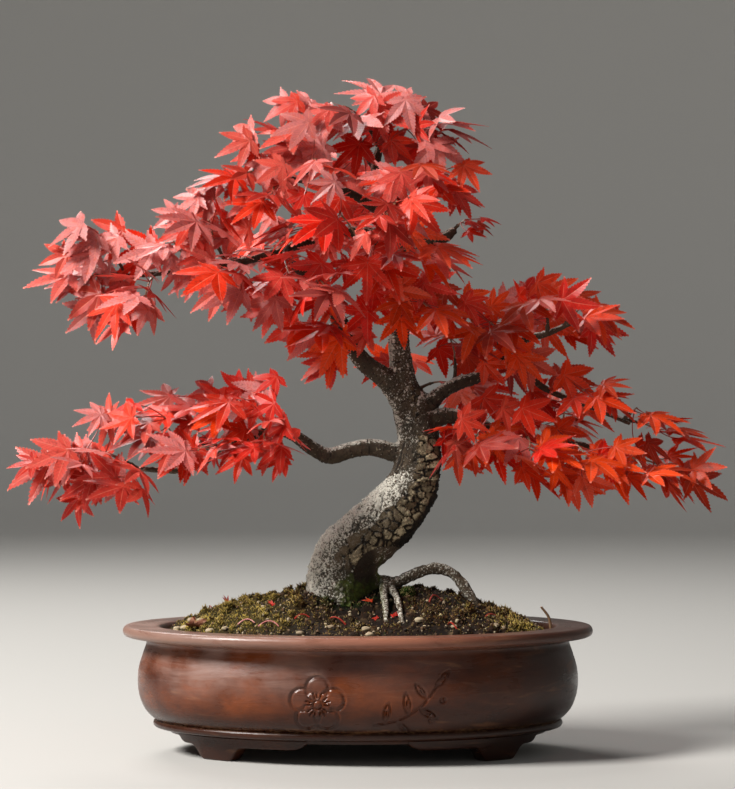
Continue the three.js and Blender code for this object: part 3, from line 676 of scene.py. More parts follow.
# Painted sheen: a mauve-grey painted reflection on the upper shoulder, stronger toward the left, where the
# light falls.
painted_sheen = times(tree, spread(tree, height, 0.034, 0.062), spread(tree, sheen_noise, 0.32, 0.6))
painted_sheen = times(tree, painted_sheen, spread(tree, brush_marks, 0.3, 0.62, 0.45, 1.0))
painted_sheen = times(tree, painted_sheen, spread(tree, toward_left, 0.0, 1.0, 0.3, 1.0))
clay = blend(tree, painted_sheen, clay, rgb(134, 104, 94))
# A lighter band on the rim, with a mauve-grey painted sheen toward the left.
on_rim = times(tree, spread(tree, height, 0.0758, 0.0775), spread(tree, brush_marks, 0.25, 0.6, 0.55, 1.0))
clay = blend(tree, on_rim, clay, blend(tree, toward_left, rgb(146, 92, 72), rgb(132, 102, 90)))
clay = blend(tree, spread(tree, height, 0.046, 0.022, 0.0, 0.8), clay, rgb(34, 16, 9))
# Painted shade: the right side of the pot, away from the light, darkens to near black.
clay = blend(tree, spread(tree, spot_x, 0.0, 0.13, 0.0, 0.84), clay, rgb(24, 8, 3))
clay = blend(tree, spread(tree, brush_marks, 0.56, 0.72, 0.0, 0.28), clay, rgb(158, 108, 72))
groove = times(tree, spread(tree, height, 0.0212, 0.0224), spread(tree, height, 0.0262, 0.0236))
dust = times(tree, groove, spread(tree, cloudy(tree, place, 420.0, 6.0), 0.46, 0.62))
clay = blend(tree, times(tree, dust, 0.3), clay, rgb(140, 108, 78))
scuffs = spread(tree, cloudy(tree, place, 95.0, 9.0, 0.8), 0.70, 0.75)
clay = blend(tree, times(tree, scuffs, 0.6), clay, rgb(184, 160, 136))
feed(tree, shader, "Base Color", clay)
feed(tree, shader, "Roughness", plus(tree, spread(tree, sheen_noise, 0.3, 0.75, 0.24, 0.4),
                                     spread(tree, brush_marks, 0.35, 0.7, -0.03, 0.08)))
grain = grained(tree, 0.9, 0.35)["Height"]
add_relief(tree, shader, plus(tree, times(tree, grain, 0.45), times(tree, brush_marks, 0.8)), 0.22)
finish_piece(pot, stoneware, "stoneware", "pot")

# %% [markdown]
# The two plastic drain screens keep their modelled shape, because a moulded grid has plain flat bars.
# They only get a finish: black plastic, dusted with soil in soft patches.

# %% Screen plastic
screen_plastic, tree, shader = new_material("screen_plastic", Specular_IOR_Level=0.4)
feed(tree, shader, "Base Color", mottled(tree, 5.0, (1, 1, 1), rgb(26, 26, 27), rgb(48, 42, 35),
                                         rgb(17, 17, 18), 0.3))
grain = grained(tree, 0.4, 0.1)["Height"]
feed(tree, shader, "Roughness", spread(tree, grain, 0.0, 1.0, 0.42, 0.62))
add_relief(tree, shader, grain, 0.06)
for name in ("drain_screen_left", "drain_screen_right"):
    screen = frame["nodes"][name]
    screen.data.materials.clear()
    screen.data.materials.append(screen_plastic)

# %% [markdown]
# ## The bed of soil
#
# The earth is heaped: it climbs from the rim to the foot of the tree, steeper at the back and sides than
# in front. The CAD gives its height as a formula, so the fine bed takes the same one and adds clods and
# grains. The bed is closed underneath, where it lies on the floor of the pot.

# %% The bed's shape
SOIL_EDGE = 80.0
SOIL_RISE = 32.0
SOIL_HALF = 134.2
SOIL_HALF_DEPTH = SOIL_HALF - OVAL_STEP
SOIL_SINK = 2.2
SKIRT_TOP = 60.0


def soil_height(share, angle):
    """The height of the bed at a share of the way out, in the direction of the angle."""
    front = np.maximum(0.0, -np.sin(angle)) ** 1.5
    rise = SOIL_RISE * (1 - share ** (2.4 - 1.5 * front))
    wave = 1.3 * np.sin(3 * angle + 6 * share) + np.cos(5 * angle - 4 * share + 1)
    return SOIL_EDGE + rise + wave * share * (1 - share) * 4


def cushion_at(x, y):
    """How high the moss cushion is at each place: 0 in the hollows between them, 1.3 on the highest."""
    flat = np.stack([x, y, np.zeros(len(x))], axis=1)
    edge, number = cells(flat + 2.2 * ripple(flat, 5.0, 14)[:, None], 9.5, 15)
    return eased(edge * 1.5) * (0.3 + number)


SOIL_RINGS = 112
SOIL_SPOKES = 380
ring_share = np.linspace(1.0, 0.0, SOIL_RINGS + 1)[:-1] ** 0.8
spoke = circle(SOIL_SPOKES)
share, angle = np.meshgrid(ring_share, spoke, indexing="ij")
bed_x = SOIL_HALF * share * np.cos(angle)
bed_y = SOIL_HALF_DEPTH * share * np.sin(angle)
flat_points = np.stack([bed_x.ravel(), bed_y.ravel(), np.zeros(bed_x.size)], axis=1)
cushions = cushion_at(flat_points[:, 0], flat_points[:, 1])
crumb_edge, crumb_number = cells(flat_points, 3.1, 3)
crumbs = eased(crumb_edge * 3.0) * (0.35 + 0.65 * crumb_number)
clods = (3.6 * cushions + 0.7 * crumbs + 0.8 * ripple(flat_points, 14.0, 1)
         + 0.4 * ripple(flat_points, 4.0, 2))
away_from_edge = eased((1 - share.ravel()) * 14)
bed_z = soil_height(share.ravel(), angle.ravel()) - SOIL_SINK + away_from_edge * clods
bed_top = np.stack([bed_x.ravel(), bed_y.ravel(), bed_z], axis=1)

under = [(SOIL_HALF, SKIRT_TOP), (140.2, 46.0), (134.4, 29.0), (125.4, 21.3)]
skirt = np.vstack([on_oval(w, spoke, z) for w, z in under])
skirt[:SOIL_SPOKES] = np.stack([bed_x[0], bed_y[0], np.full(SOIL_SPOKES, SKIRT_TOP)], axis=1)
crest = np.array([[0.0, 0.0, SOIL_EDGE + SOIL_RISE - 0.7], [0.0, 0.0, FLOOR_TOP + 0.3]])
bed_points = np.vstack([bed_top, skirt, crest])
crest_index = len(bed_top) + len(skirt)
bed_faces = [strip_faces(SOIL_RINGS, SOIL_SPOKES),
             fan_faces((SOIL_RINGS - 1) * SOIL_SPOKES, SOIL_SPOKES, crest_index)]
lowest = np.concatenate([np.arange(SOIL_SPOKES), len(bed_top) + np.arange(len(skirt))])
side = lowest[strip_faces(len(under) + 1, SOIL_SPOKES)][:, ::-1]
low_ring = len(bed_top) + (len(under) - 1) * SOIL_SPOKES
bed_faces += [side, fan_faces(low_ring, SOIL_SPOKES, crest_index + 1, downwards=True)]
soil = make_object("earth_bed", placed(bed_points), bed_faces)
print("bed:", len(bed_points), "points")

# %% [markdown]
# Moss grows on this bed in patches, and its colour stains the earth beneath. So the places of the moss are
# set down first, as soft spots with a tone: deep green at the trunk's foot, brown in front, and
# yellow-green out on the left and at the far right.

# %% Where moss grows
MOSS_SPOTS = [
    # x, y, reach, strength, tone from 0 (deep green) over 0.5 (brown) to 1 (yellow-green)
    (-108, -26, 24, 1.0, 0.95), (-86, -34, 26, 1.0, 0.85), (-66, -26, 22, 1.0, 0.8), (-92, 0, 30, 1.0, 0.8),
    (-56, -52, 20, 0.9, 0.72), (-38, -30, 18, 0.9, 0.62), (-18, -24, 13, 1.0, 0.12),
    (-2, -20, 12, 1.0, 0.05), (10, -12, 12, 1.0, 0.08), (-14, -52, 22, 0.8, 0.58),
    (20, -66, 22, 0.55, 0.5), (38, -30, 20, 0.6, 0.46),
    (56, -46, 22, 0.65, 0.5), (84, -38, 22, 0.8, 0.5), (64, -8, 24, 0.6, 0.42), (98, -10, 20, 0.8, 0.56),
    (118, -16, 18, 1.0, 0.9), (106, -32, 16, 0.9, 0.85), (60, 30, 28, 0.8, 0.6), (14, 40, 28, 0.9, 0.35),
    (-34, 34, 30, 1.0, 0.7), (-80, 34, 28, 1.0, 0.8), (98, 30, 26, 0.9, 0.7), (-10, 70, 24, 0.9, 0.75),
    (50, 66, 22, 0.8, 0.6), (-66, 62, 20, 0.8, 0.8), (-40, 2, 16, 0.9, 0.3), (30, 6, 14, 0.8, 0.25),
]


def moss_cover(x, y):
    """How thick the moss is at each point from 0 to 1, and its tone."""
    weight = np.zeros(len(x))
    tone = np.zeros(len(x))
    for spot_x, spot_y, reach, strength, shade in MOSS_SPOTS:
        w = strength * np.exp(-((x - spot_x) ** 2 + (y - spot_y) ** 2) / (0.55 * reach * reach))
        weight += w
        tone += w * shade
    flat = np.stack([x, y, np.zeros(len(x))], axis=1)
    ragged = weight * (1 + 0.7 * ripple(flat, 11.0, 6) + 0.4 * ripple(flat, 4.5, 7))
    return np.clip(ragged, 0, 1), tone / np.maximum(weight, 1e-6)


bed_moss, bed_tone = moss_cover(bed_points[:, 0], bed_points[:, 1])
below = np.zeros(len(skirt) + 2)
give_values(soil, "moss", bed_moss)
give_values(soil, "tone", bed_tone)
# The hollows between the moss cushions are stored for painted shade there.
give_values(soil, "hollow_shade", 1 - np.clip(1.3 * np.concatenate([cushions, below]), 0, 1))
give_values(soil, "crumb", np.concatenate([crumb_number, below]))
print("share of the bed under moss:", round(float(np.mean(bed_moss[:len(bed_top)] > 0.35)), 2))

# %% The soil's material
earth, tree, shader = new_material("earth", Roughness=0.95, Specular_IOR_Level=0.2)
ground = mottled(tree, 16.0, (1, 1, 1), rgb(28, 17, 10), rgb(50, 32, 19), rgb(20, 13, 9), 0.5)
crumb = stored(tree, "crumb")
ground = blend(tree, spread(tree, crumb, 0.82, 0.9, 0.0, 0.6), ground, rgb(128, 104, 74))
ground = blend(tree, spread(tree, crumb, 0.3, 0.2, 0.0, 0.5), ground, rgb(26, 19, 15))
tone = stored(tree, "tone")
stain = blend(tree, spread(tree, tone, 0.15, 0.5), rgb(26, 36, 14), rgb(58, 38, 22))
stain = blend(tree, spread(tree, tone, 0.5, 0.9), stain, rgb(92, 84, 34))
ground = blend(tree, times(tree, stored(tree, "moss"), 0.85), ground, stain)
# Painted shade: the earth darkens in the hollows between the moss cushions.
ground = blend(tree, times(tree, stored(tree, "hollow_shade"), 0.75), ground, rgb(16, 11, 8))
feed(tree, shader, "Base Color", ground)
add_relief(tree, shader, grained(tree, 0.8, 0.5)["Height"], 0.5)
finish_piece(soil, earth, "soil", "soil")

# %% [markdown]
# ## The wood
#
# Trunk, limbs and roots grew as one. They could be sculpted by hand, but a rule repeats better: each limb
# is a smooth line through a few places, with a radius at each, swept into a tube. All the tubes are then
# melted into one skin by a voxel remesh, which fills the forks the way growing wood does, and the skin
# gets its bark.

# %% The lines of the limbs
TRUNK = [
    (-14, 0, 76, 27), (-14, 0, 92, 25.5), (-13.5, 0, 108, 22.5), (-11.5, 0, 125, 22), (-4, -1, 138, 21.8),
    (8.5, -2, 148.5, 21), (21.5, -3, 160.5, 20), (31.5, -3, 172, 18.8), (37.8, -2, 183, 17),
    (40.6, -1, 194, 15.4), (41.2, 0, 211, 14.2), (39.8, 1, 224, 14), (36.5, 2, 236, 13), (33, 2, 246, 10),
]
LIMBS = {
    "leader": [(36.5, 2, 234, 11), (32, 2, 249, 9.2), (29, 2, 266, 7.8), (28, 1, 283, 6.8),
               (31, 0, 300, 6.2), (29, 0, 320, 5.6), (22, 2, 347, 5), (14, 2, 374, 4.1),
               (12, 0, 398, 3.2), (17, -2, 420, 2.2)],
    "left_fork": [(34, 0, 232, 8.5), (19, -2, 253, 7.2), (4.5, -4, 264.5, 6.2), (-4, -6, 276, 5.5),
                  (-12, -13, 293, 4.6), (-26, -22, 313, 3.8), (-44, -30, 331, 2.8)],
    "crown_left": [(21, 2, 350, 4.8), (-5, 4, 354, 4.1), (-32, 4, 348, 3.6), (-60, 0, 339, 3.2),
                   (-87, -4, 332, 2.8), (-114, -6, 328, 2.4), (-142, -6, 325, 2), (-165, -6, 324, 1.6)],
    "crown_top_left": [(15, 2, 368, 3.6), (-8, -8, 381, 2.8), (-32, -14, 387, 2.3), (-52, -18, 390, 1.7)],
    "crown_front": [(30, 0, 312, 4.6), (27, -22, 324, 3.4), (17, -44, 330, 2.6), (8, -58, 332, 1.8)],
    "crown_right": [(13, 0, 384, 3.4), (30, -4, 392, 2.6), (46, -8, 388, 1.8)],
    "crown_back": [(28, 0, 326, 4.2), (22, 26, 342, 3), (8, 50, 352, 2.2), (-4, 66, 358, 1.7)],
    "spur": [(26, 1, 342, 4.8), (38, 2, 347, 4.8), (50, 2, 348.5, 4.5), (60, 1, 351, 3.9),
             (66, 0, 355.5, 2.8)],
    "right_high": [(40, 2, 228, 7), (56, -2, 243.5, 5.2), (67, -4, 250, 4.6), (81, -4, 255, 4.2),
                   (92.5, -2, 264, 3.9), (99, 0, 274, 3.6), (112, 0, 280, 3), (130, -4, 285, 2.3),
                   (146, -6, 292, 1.7)],
    "right_middle": [(97, -1, 270, 3.3), (112, 5, 266, 2.8), (124, 9, 250, 2.5), (142, 10, 241, 2.2),
                     (166, 6, 232, 1.9), (186, 2, 223, 1.5)],
    "right_low": [(40, 0, 219, 7.5), (58, -3, 228, 5.6), (74, -6, 227, 4.7), (90, -9, 219.5, 4),
                  (111, -12, 214, 3.4), (138, -13, 211, 2.8), (166, -10, 205, 2.2), (188, -8, 198, 1.6)],
    "left_low": [(38, 0, 200, 8), (23.5, -3, 204, 6.5), (8.5, -4, 207, 5.8), (-7, -5, 204.5, 5.8),
                 (-20, -5, 201, 5.6), (-32, -5, 207, 4.8), (-44, -5, 215.5, 4.3), (-58, -6, 219, 3.7),
                 (-77, -8, 213, 3.2), (-97, -9, 202, 2.9), (-118, -8, 192, 2.5), (-142, -6, 192, 2),
                 (-162, -6, 194, 1.6)],
    "back_low": [(41, 3, 205, 7), (45, 24, 216, 5), (46, 46, 230, 3.6), (42, 66, 244, 2.6),
                 (36, 80, 256, 1.8)],
}
SHOWN_ROOTS = [
    [(4, 2, 106, 6), (10, 0, 111, 4.2), (17, -3, 115.5, 4.6), (24, -4, 115, 3.9), (34, -4, 118.5, 4),
     (46, -4, 123.5, 3.8), (56, -4, 124.5, 3.7), (66, -4, 120, 3.5), (74, -5, 109, 3.6), (82, -6, 97, 3.2),
     (86, -6, 88, 2.2)],
    [(18, -4, 115, 3.6), (17.5, -18, 109.5, 2.7), (18.5, -34, 101.5, 2.4), (19, -50, 91, 1.8)],
    [(21, -5, 113, 3), (25.5, -20, 107.5, 2.3), (28, -36, 100.5, 2.1), (30, -54, 89.5, 1.6)],
    [(15, -3, 115, 2.6), (12.5, -4, 121, 1.7), (13.5, -5, 125, 1.1)],
]
BURIED_ROOTS = [
    [(-18, 0, 92, 15), (-38, -5, 84, 9), (-58, -8, 72, 6), (-72, -10, 60, 3.5)],
    [(-14, -6, 92, 14), (-12, -27, 82, 8), (-8, -45, 68, 5.5), (-4, -58, 56, 3)],
    [(-12, 6, 90, 14), (-14, 28, 82, 8), (-20, 48, 68, 5), (-24, 60, 56, 3)],
    [(-8, 2, 88, 14), (14, 6, 80, 8.5), (34, 10, 68, 5.5), (50, 12, 56, 3)],
]
TWIG_TIPS = {
    "left_low": [(-62, -46, 212), (-78, -32, 241), (-116, 44, 214), (-106, -52, 206), (-112, 14, 242),
                 (-130, -34, 228), (-150, -34, 186), (-184, -32, 206), (-200, -8, 196)],
    "crown_left": [(-60, 50, 344), (-46, -46, 324), (-30, -62, 352), (-84, -60, 326), (-100, -36, 360),
                   (-124, -30, 346), (-142, -40, 308), (-168, -16, 342), (-184, -10, 322)],
    "left_fork": [(-20, -26, 288), (-20, -72, 312)],
    "crown_top_left": [(-28, -48, 400), (-36, -16, 422), (-76, -30, 392), (-58, -42, 374)],
    "leader": [(46, -46, 302), (-4, 36, 408), (-10, -22, 438), (48, -14, 426), (20, 2, 450)],
    "crown_front": [(46, -66, 342), (26, -82, 370), (-12, -82, 362)],
    "crown_right": [(34, -48, 394), (34, 42, 390), (50, -22, 386)],
    "crown_back": [(48, 52, 344), (-4, 86, 362)],
    "spur": [(73, -2, 362)],
    "right_high": [(62, 24, 284), (88, -30, 292), (122, -34, 308), (118, 36, 298), (148, 22, 290),
                   (152, -10, 302)],
    "right_middle": [(142, 40, 224), (152, -28, 246), (188, -26, 234), (206, 6, 218)],
    "right_low": [(78, -48, 214), (114, -56, 206), (152, -54, 200), (190, -40, 194), (213, -14, 190)],
    "back_low": [(72, 84, 250), (30, 104, 272)],
}
print("limbs:", len(LIMBS), "twigs:", sum(len(tips) for tips in TWIG_TIPS.values()))

# %% [markdown]
# A line through uneven places can loop where two of them lie close together. The centripetal form of the
# Catmull-Rom curve can't: it gives each piece of the line a share of time that grows with the root of its
# length.


# %% Smooth lines
class Line:
    """A smooth line through stations of x, y, z and radius."""

    def __init__(self, stations):
        table = np.asarray(stations, float)
        self.places, self.radii = table[:, :3], table[:, 3]

    def point(self, t):
        count = len(self.places)
        x = np.clip(t, 0, 1) * (count - 1)
        i = min(int(x), count - 2)
        p1, p2 = self.places[i], self.places[i + 1]
        p0 = self.places[i - 1] if i > 0 else 2 * p1 - p2
        p3 = self.places[i + 2] if i + 2 < count else 2 * p2 - p1
        d0, d1, d2 = (max(np.linalg.norm(b - a), 1e-4) ** 0.5 for a, b in ((p0, p1), (p1, p2), (p2, p3)))
        m1 = (p1 - p0) / d0 - (p2 - p0) / (d0 + d1) + (p2 - p1) / d1
        m2 = (p2 - p1) / d1 - (p3 - p1) / (d1 + d2) + (p3 - p2) / d2
        m1, m2 = m1 * d1, m2 * d1
        s = x - i
        return (p1 + m1 * s + (-3 * p1 + 3 * p2 - 2 * m1 - m2) * s * s
                + (2 * p1 - 2 * p2 + m1 + m2) * s ** 3)

    def radius(self, t):
        return float(np.interp(t * (len(self.radii) - 1), np.arange(len(self.radii)), self.radii))

    def nearest(self, place):
        return min(range(61), key=lambda i: np.linalg.norm(self.point(i / 60) - place)) / 60


class Twig:
    """A twig of a limb: it leaves forwards and upwards, and bends over to its tip."""
    SETBACK = 0.05
    FORWARD = 0.12
    ARCH = 0.16

    def __init__(self, limb, tip):
        self.tip = np.asarray(tip, float)
        place = max(self.SETBACK, limb.nearest(self.tip) - self.SETBACK)
        self.start = limb.point(place)
        reach = np.linalg.norm(self.tip - self.start)
        forward = unit(limb.point(min(1, place + 0.04)) - self.start)
        self.bend = self.start + 0.45 * (self.tip - self.start) + self.FORWARD * reach * forward
        self.bend = self.bend + self.ARCH * reach * np.array([0, 0, 1.0])
        self.length = sum(np.linalg.norm(self.point((i + 1) / 20) - self.point(i / 20)) for i in range(20))

    def point(self, t):
        return bow(self.start, self.bend, self.tip, t)

    def radius(self, t):
        return 1.5 - 0.95 * min(1, 1.6 * t)


limb_lines = {name: Line(stations) for name, stations in LIMBS.items()}
twig_lines = {}
for limb_name, tips in TWIG_TIPS.items():
    for number, tip in enumerate(tips, 1):
        twig_lines[f"shoot_{limb_name}_{number}"] = Twig(limb_lines[limb_name], tip)
print("longest twig, mm:", round(max(twig.length for twig in twig_lines.values())))


# %% Sweeping a tube
def closed_faces(rings, sides):
    """The faces of a closed body: its rings, and a fan at each end to one of the two points after them."""
    count = rings * sides
    return [strip_faces(rings, sides), fan_faces(0, sides, count, downwards=True),
            fan_faces(count - sides, sides, count + 1)]


def sweep(point_at, radius_at, sides, steps, start=0.0, end=1.0, swell=None):
    """The points and faces of a closed round tube along a line. A ring's corners keep their turn."""
    ts = np.linspace(start, end, steps + 1)
    middles = np.array([point_at(t) for t in ts])
    ways = unit(np.array([point_at(min(1, t + 1e-3)) - point_at(max(0, t - 1e-3)) for t in ts]))
    side = np.array([0.0, -1.0, 0.0])
    angles = circle(sides)
    rings = []
    for t, middle, way in zip(ts, middles, ways):
        side = unit(side - way * (side @ way))
        other = np.cross(way, side)
        radius = radius_at(t) * (swell(angles, t) if swell else np.ones(sides))
        rings.append(middle + radius[:, None] * (np.cos(angles)[:, None] * side
                                                 + np.sin(angles)[:, None] * other))
    tips = [middles[0] - ways[0] * radius_at(start) * 0.3, middles[-1] + ways[-1] * radius_at(end) * 0.5]
    return np.vstack(rings + [tips]), closed_faces(steps + 1, sides)


def gather(bodies):
    """Several bodies of points and faces as one."""
    points, faces, base = [], [], 0
    for body_points, body_faces in bodies:
        points.append(body_points)
        faces += [part + base if isinstance(part, np.ndarray)
                  else [tuple(i + base for i in face) for face in part] for part in body_faces]
        base += len(body_points)
    return np.vstack(points), faces


RIDGE = 0.04


def muscles(angles, t):
    """The lengthwise muscles of old wood."""
    return 1 + RIDGE * (np.cos(3 * angles + 5 * t) + 0.6 * np.cos(5 * angles - 9 * t))


trunk_line = Line(TRUNK)
root_lines = [Line(stations) for stations in SHOWN_ROOTS]
living = [sweep(trunk_line.point, trunk_line.radius, 40, 60, swell=muscles)]
living += [sweep(line.point, line.radius, 14, 40, swell=muscles) for line in root_lines]
living += [sweep(line.point, line.radius, 14, 50) for line in limb_lines.values()]
skin_points, skin_faces = gather(living)
skin = make_object("bark_and_wood", placed(skin_points), skin_faces)
print("swept wood:", len(skin_points), "points")

# %% [markdown]
# The remesh turns the overlapping tubes into one even skin. Its steps are smoothed away, and each point
# then learns which line it belongs to: how far along it is, on which side it looks, and how thick the
# wood is there. Bark needs all three.

# %% One skin
VOXEL = 1.0
melt = skin.modifiers.new("melt", "REMESH")
melt.mode = "VOXEL"
melt.voxel_size = VOXEL * MM
relax = skin.modifiers.new("relax", "SMOOTH")
relax.factor = 0.5
relax.iterations = 5
apply_modifiers(skin)
skin.data.shade_smooth()
surface = drawn(vectors_of(skin.data))
print("skin:", len(surface), "points")

# %% What each point of the skin belongs to
SAMPLES = 160
samples = []
for kind, line in enumerate([trunk_line, *root_lines, *limb_lines.values()]):
    for i in range(SAMPLES + 1):
        t = i / SAMPLES
        ahead = line.point(min(1, t + 0.01)) - line.point(max(0, t - 0.01))
        samples.append((line.point(t), line.radius(t), kind, ahead))
sample_places, sample_radius, sample_kind, sample_way = map(np.array, zip(*samples))
tree_of_samples = KDTree(len(samples))
for i, place in enumerate(sample_places):
    tree_of_samples.insert(place, i)
tree_of_samples.balance()
owner = np.empty(len(surface), int)
for i, p in enumerate(surface):
    best, best_gap = 0, 1e9
    for _, index, distance in tree_of_samples.find_n(p, 6):
        gap = distance - sample_radius[index]
        if gap < best_gap:
            best, best_gap = index, gap
    owner[i] = best
kind = sample_kind[owner]
girth = sample_radius[owner]
way = unit(sample_way[owner])
steps_along = np.concatenate([[0.0], np.cumsum(np.linalg.norm(np.diff(sample_places, axis=0), axis=1))])
outward = surface - sample_places[owner]
along = steps_along[owner] + dots(outward, way)
outward = unit(outward - way * dots(outward, way)[:, None])
on_trunk = eased((girth - 8.0) / 6.0)
print("points on the trunk:", int((kind == 0).sum()))

# %% [markdown]
# ## Bark
#
# The bark isn't alike all round. The side to the light has a silvery crust of fine granules, which thins
# out round the trunk, and creases that run along it. The crust is painted paler toward the light, as a
# painted highlight, and the creases are painted dark, as painted shade. Below the crust runs a strip where
# flat pale plates stand between dark cracks, and the far side gets painted shade, nearly black, in which
# the plates fade out. The limbs are smoother, with rings where buds once sat. Their sides to the light get
# a painted silvery highlight, their other sides painted shade, and their bark is lifted toward pale as a
# painted light. The relief moves the skin itself, and the same masks are stored at its points for the
# colours.

# %% Relief of the bark
PLATE_MIDDLE_LOW = 6.0
PLATE_MIDDLE_HIGH = 28.0
PLATE_REACH = 30.0
to_right = unit(np.cross([0, 1, 0], way))
to_front = np.cross(to_right, way)
turn = np.degrees(np.arctan2(dots(outward, to_right), dots(outward, to_front)))
ragged = 14 * ripple(surface, 8.0, 11) + 8 * ripple(surface, 3.2, 12)
# The silver mask marks the silvery crust and lies on the trunk's side toward the light, so it is partly a
# painted highlight.
silver_and_highlight = eased((turn + 185 + ragged) / 75) * np.clip((56 + 0.7 * ragged - turn) / 128, 0, 0.84)
silver_and_highlight *= 1 - 0.35 * eased((surface[:, 2] - 178) / 20)
plate_middle = np.interp(surface[:, 2], [124, 185], [PLATE_MIDDLE_LOW, PLATE_MIDDLE_HIGH])
far_side = np.abs(turn - plate_middle) / PLATE_REACH
plate_strip = eased((1.25 - far_side + 0.02 * ragged) / 0.3) * eased((surface[:, 2] - 118) / 18) * on_trunk
# The far side of the trunk, away from the light, for painted shade.
shaded = eased((turn - 42 + ragged) / 36) + eased((-turn - 165) / 20)
lit = np.maximum(0.95 * (outward @ unit([-0.2, -0.3, 1.0])), outward @ unit([-1.0, -0.35, 0.1]))

lengthwise = way * dots(surface, way)[:, None]
stretched = surface + 0.25 * lengthwise
bent = stretched + 1.6 * np.stack([ripple(surface, 6.0, s) for s in (21, 22, 23)], axis=1)
plate_edge, plate_number = cells(bent, 7.6, 5)
plates = eased((plate_edge + 0.08 * ripple(surface, 1.8, 24) - 0.03) / 0.12)
granule_edge, granule_number = cells(surface + 0.5 * ripple(surface, 2.0, 16)[:, None], 2.2, 6)
granules = eased(granule_edge * 2.4)
furrows = ripple(stretched, 4.6, 7)
lumps = ripple(surface, 15.0, 8)
wrinkle = np.abs(np.sin(along * (math.pi / (2.6 + 0.55 * girth)) + 1.2 * ripple(surface, 8.0, 9)))
rings = 1 - eased(wrinkle / 0.35)

creases = np.abs(ripple(surface - 0.72 * lengthwise, 7.0, 41))
rise = on_trunk * (1.3 * lumps + 0.9 * furrows - 1.1 * (1 - eased(creases / 0.16)) * (1 - plate_strip))
rise += on_trunk * plate_strip * (1.5 * plates * (0.5 + 0.6 * plate_number) - 0.9)
rise += on_trunk * (1 - plate_strip) * (0.95 * granules * (0.3 + 1.0 * granule_number) - 0.3)
on_limbs = (1 - on_trunk) * np.minimum(girth / 5.0, 1.0)
is_root = (kind > 0) & (kind <= len(root_lines))
root_base = is_root * eased((15 - surface[:, 0]) / 6)
rise += on_limbs * (0.5 * lumps + 0.45 * furrows + 0.4 * rings + 0.3 * granules)
rise += is_root * (0.75 * ripple(surface, 3.4, 31) + 0.5 * ripple(surface, 7.0, 32) - 0.25 * rings)

KNOTS = [
    # middle, reach, height
    ((-28.0, -12.0, 139.0), 4.0, 1.6), ((14.0, -22.0, 158.0), 5.0, -1.4), ((52.0, -6.0, 196.0), 4.5, 1.6),
    ((-30.0, -16.0, 118.0), 6.0, 1.3), ((30.0, -12.0, 214.0), 4.5, 1.5),
]
for middle, reach, strength in KNOTS:
    near = np.exp(-(np.linalg.norm(surface - np.array(middle), axis=1) / reach) ** 2)
    rise += strength * near
flare = eased((118 - surface[:, 2]) / 16) * (kind == 0)
rise += 2.2 * flare * (0.5 + 0.5 * np.sin(5 * np.arctan2(outward[:, 1], outward[:, 0]) + 0.9))
moved = surface + vectors_of(skin.data, "normal") * rise[:, None]
skin.data.vertices.foreach_set("co", placed(moved).ravel())
skin.data.update()

mossy = eased((124 - surface[:, 2] + 0.7 * (surface[:, 0] + 8) + 12 * ripple(surface, 6.0, 12)) / 12)
mossy *= eased((turn + 22 + 30 * ripple(surface, 5.0, 13)) / 34) * eased((20 - surface[:, 0]) / 8)
root_moss = eased((122 - surface[:, 2] + 14 * ripple(surface, 6.0, 12)) / 14)
mossy = np.maximum(mossy, 0.9 * root_base * root_moss)
mossy *= 0.4 + 0.6 * eased(0.5 + ripple(surface, 2.4, 14))
print("relief, mm:", round(float(rise.min()), 2), "to", round(float(rise.max()), 2))

# %% [markdown]
# Twigs are too fine for the remesh, so they are swept on their own, with a thicker node wherever a pair
# of buds sat. The buried roots stay plain, because the earth hides them. All this joins the skin in one
# piece of wood.

# %% Twigs and buried roots
WOODY_SHARE = 0.42
NODE_STEP = 8.5


def noded(twig):
    """A twig's radius, with a swelling at each node."""
    def radius(t):
        phase = (t * twig.length / NODE_STEP) % 1.0
        return twig.radius(t) * (1 + 0.38 * math.exp(-((phase - 0.5) / 0.09) ** 2))
    return radius


added = [sweep(twig.point, noded(twig), 7, 22, end=WOODY_SHARE + 0.01) for twig in twig_lines.values()]
added += [sweep(line.point, line.radius, 14, 8) for line in map(Line, BURIED_ROOTS)]
added_points, added_faces = gather(added)
extra = make_object("twigs_and_roots", placed(added_points), added_faces)

# Limbs and roots get silver partly on the sides that face the light, as a painted highlight; thick limbs get
# silvery specks all round.
limb_silver_and_highlight = (1 - is_root) * np.maximum(0.8 * eased((lit - 0.45) / 0.45), 0.36 * eased((girth - 5.2) / 2.5))
limb_silver_and_highlight += is_root * (1 - root_base) * (0.3 + 0.26 * eased((lit - 0.2) / 0.6))
silver_and_highlight = silver_and_highlight * on_trunk + (1 - on_trunk) * limb_silver_and_highlight
# Thin twigs and the roots away from the trunk's foot have paler bark; every limb is also lifted toward pale
# as a painted light where the crown shades it.
pale = np.maximum(0.8 * eased((4.2 - girth) / 3.0), 0.3 * (1 - on_trunk)) + 0.3 * is_root * (1 - root_base)
# The plates fade out in the painted shade of the far side.
plates = plates * (1 - 0.85 * shaded)
# Painted shade: limbs darken on their sides away from the light, and roots at the trunk's foot; with the
# trunk's far side it makes one mask.
limb_shade = np.maximum((0.6 - 0.35 * is_root) * eased((0.15 - lit) / 0.7), 0.75 * root_base)
painted_shade = on_trunk * shaded + (1 - on_trunk) * limb_shade
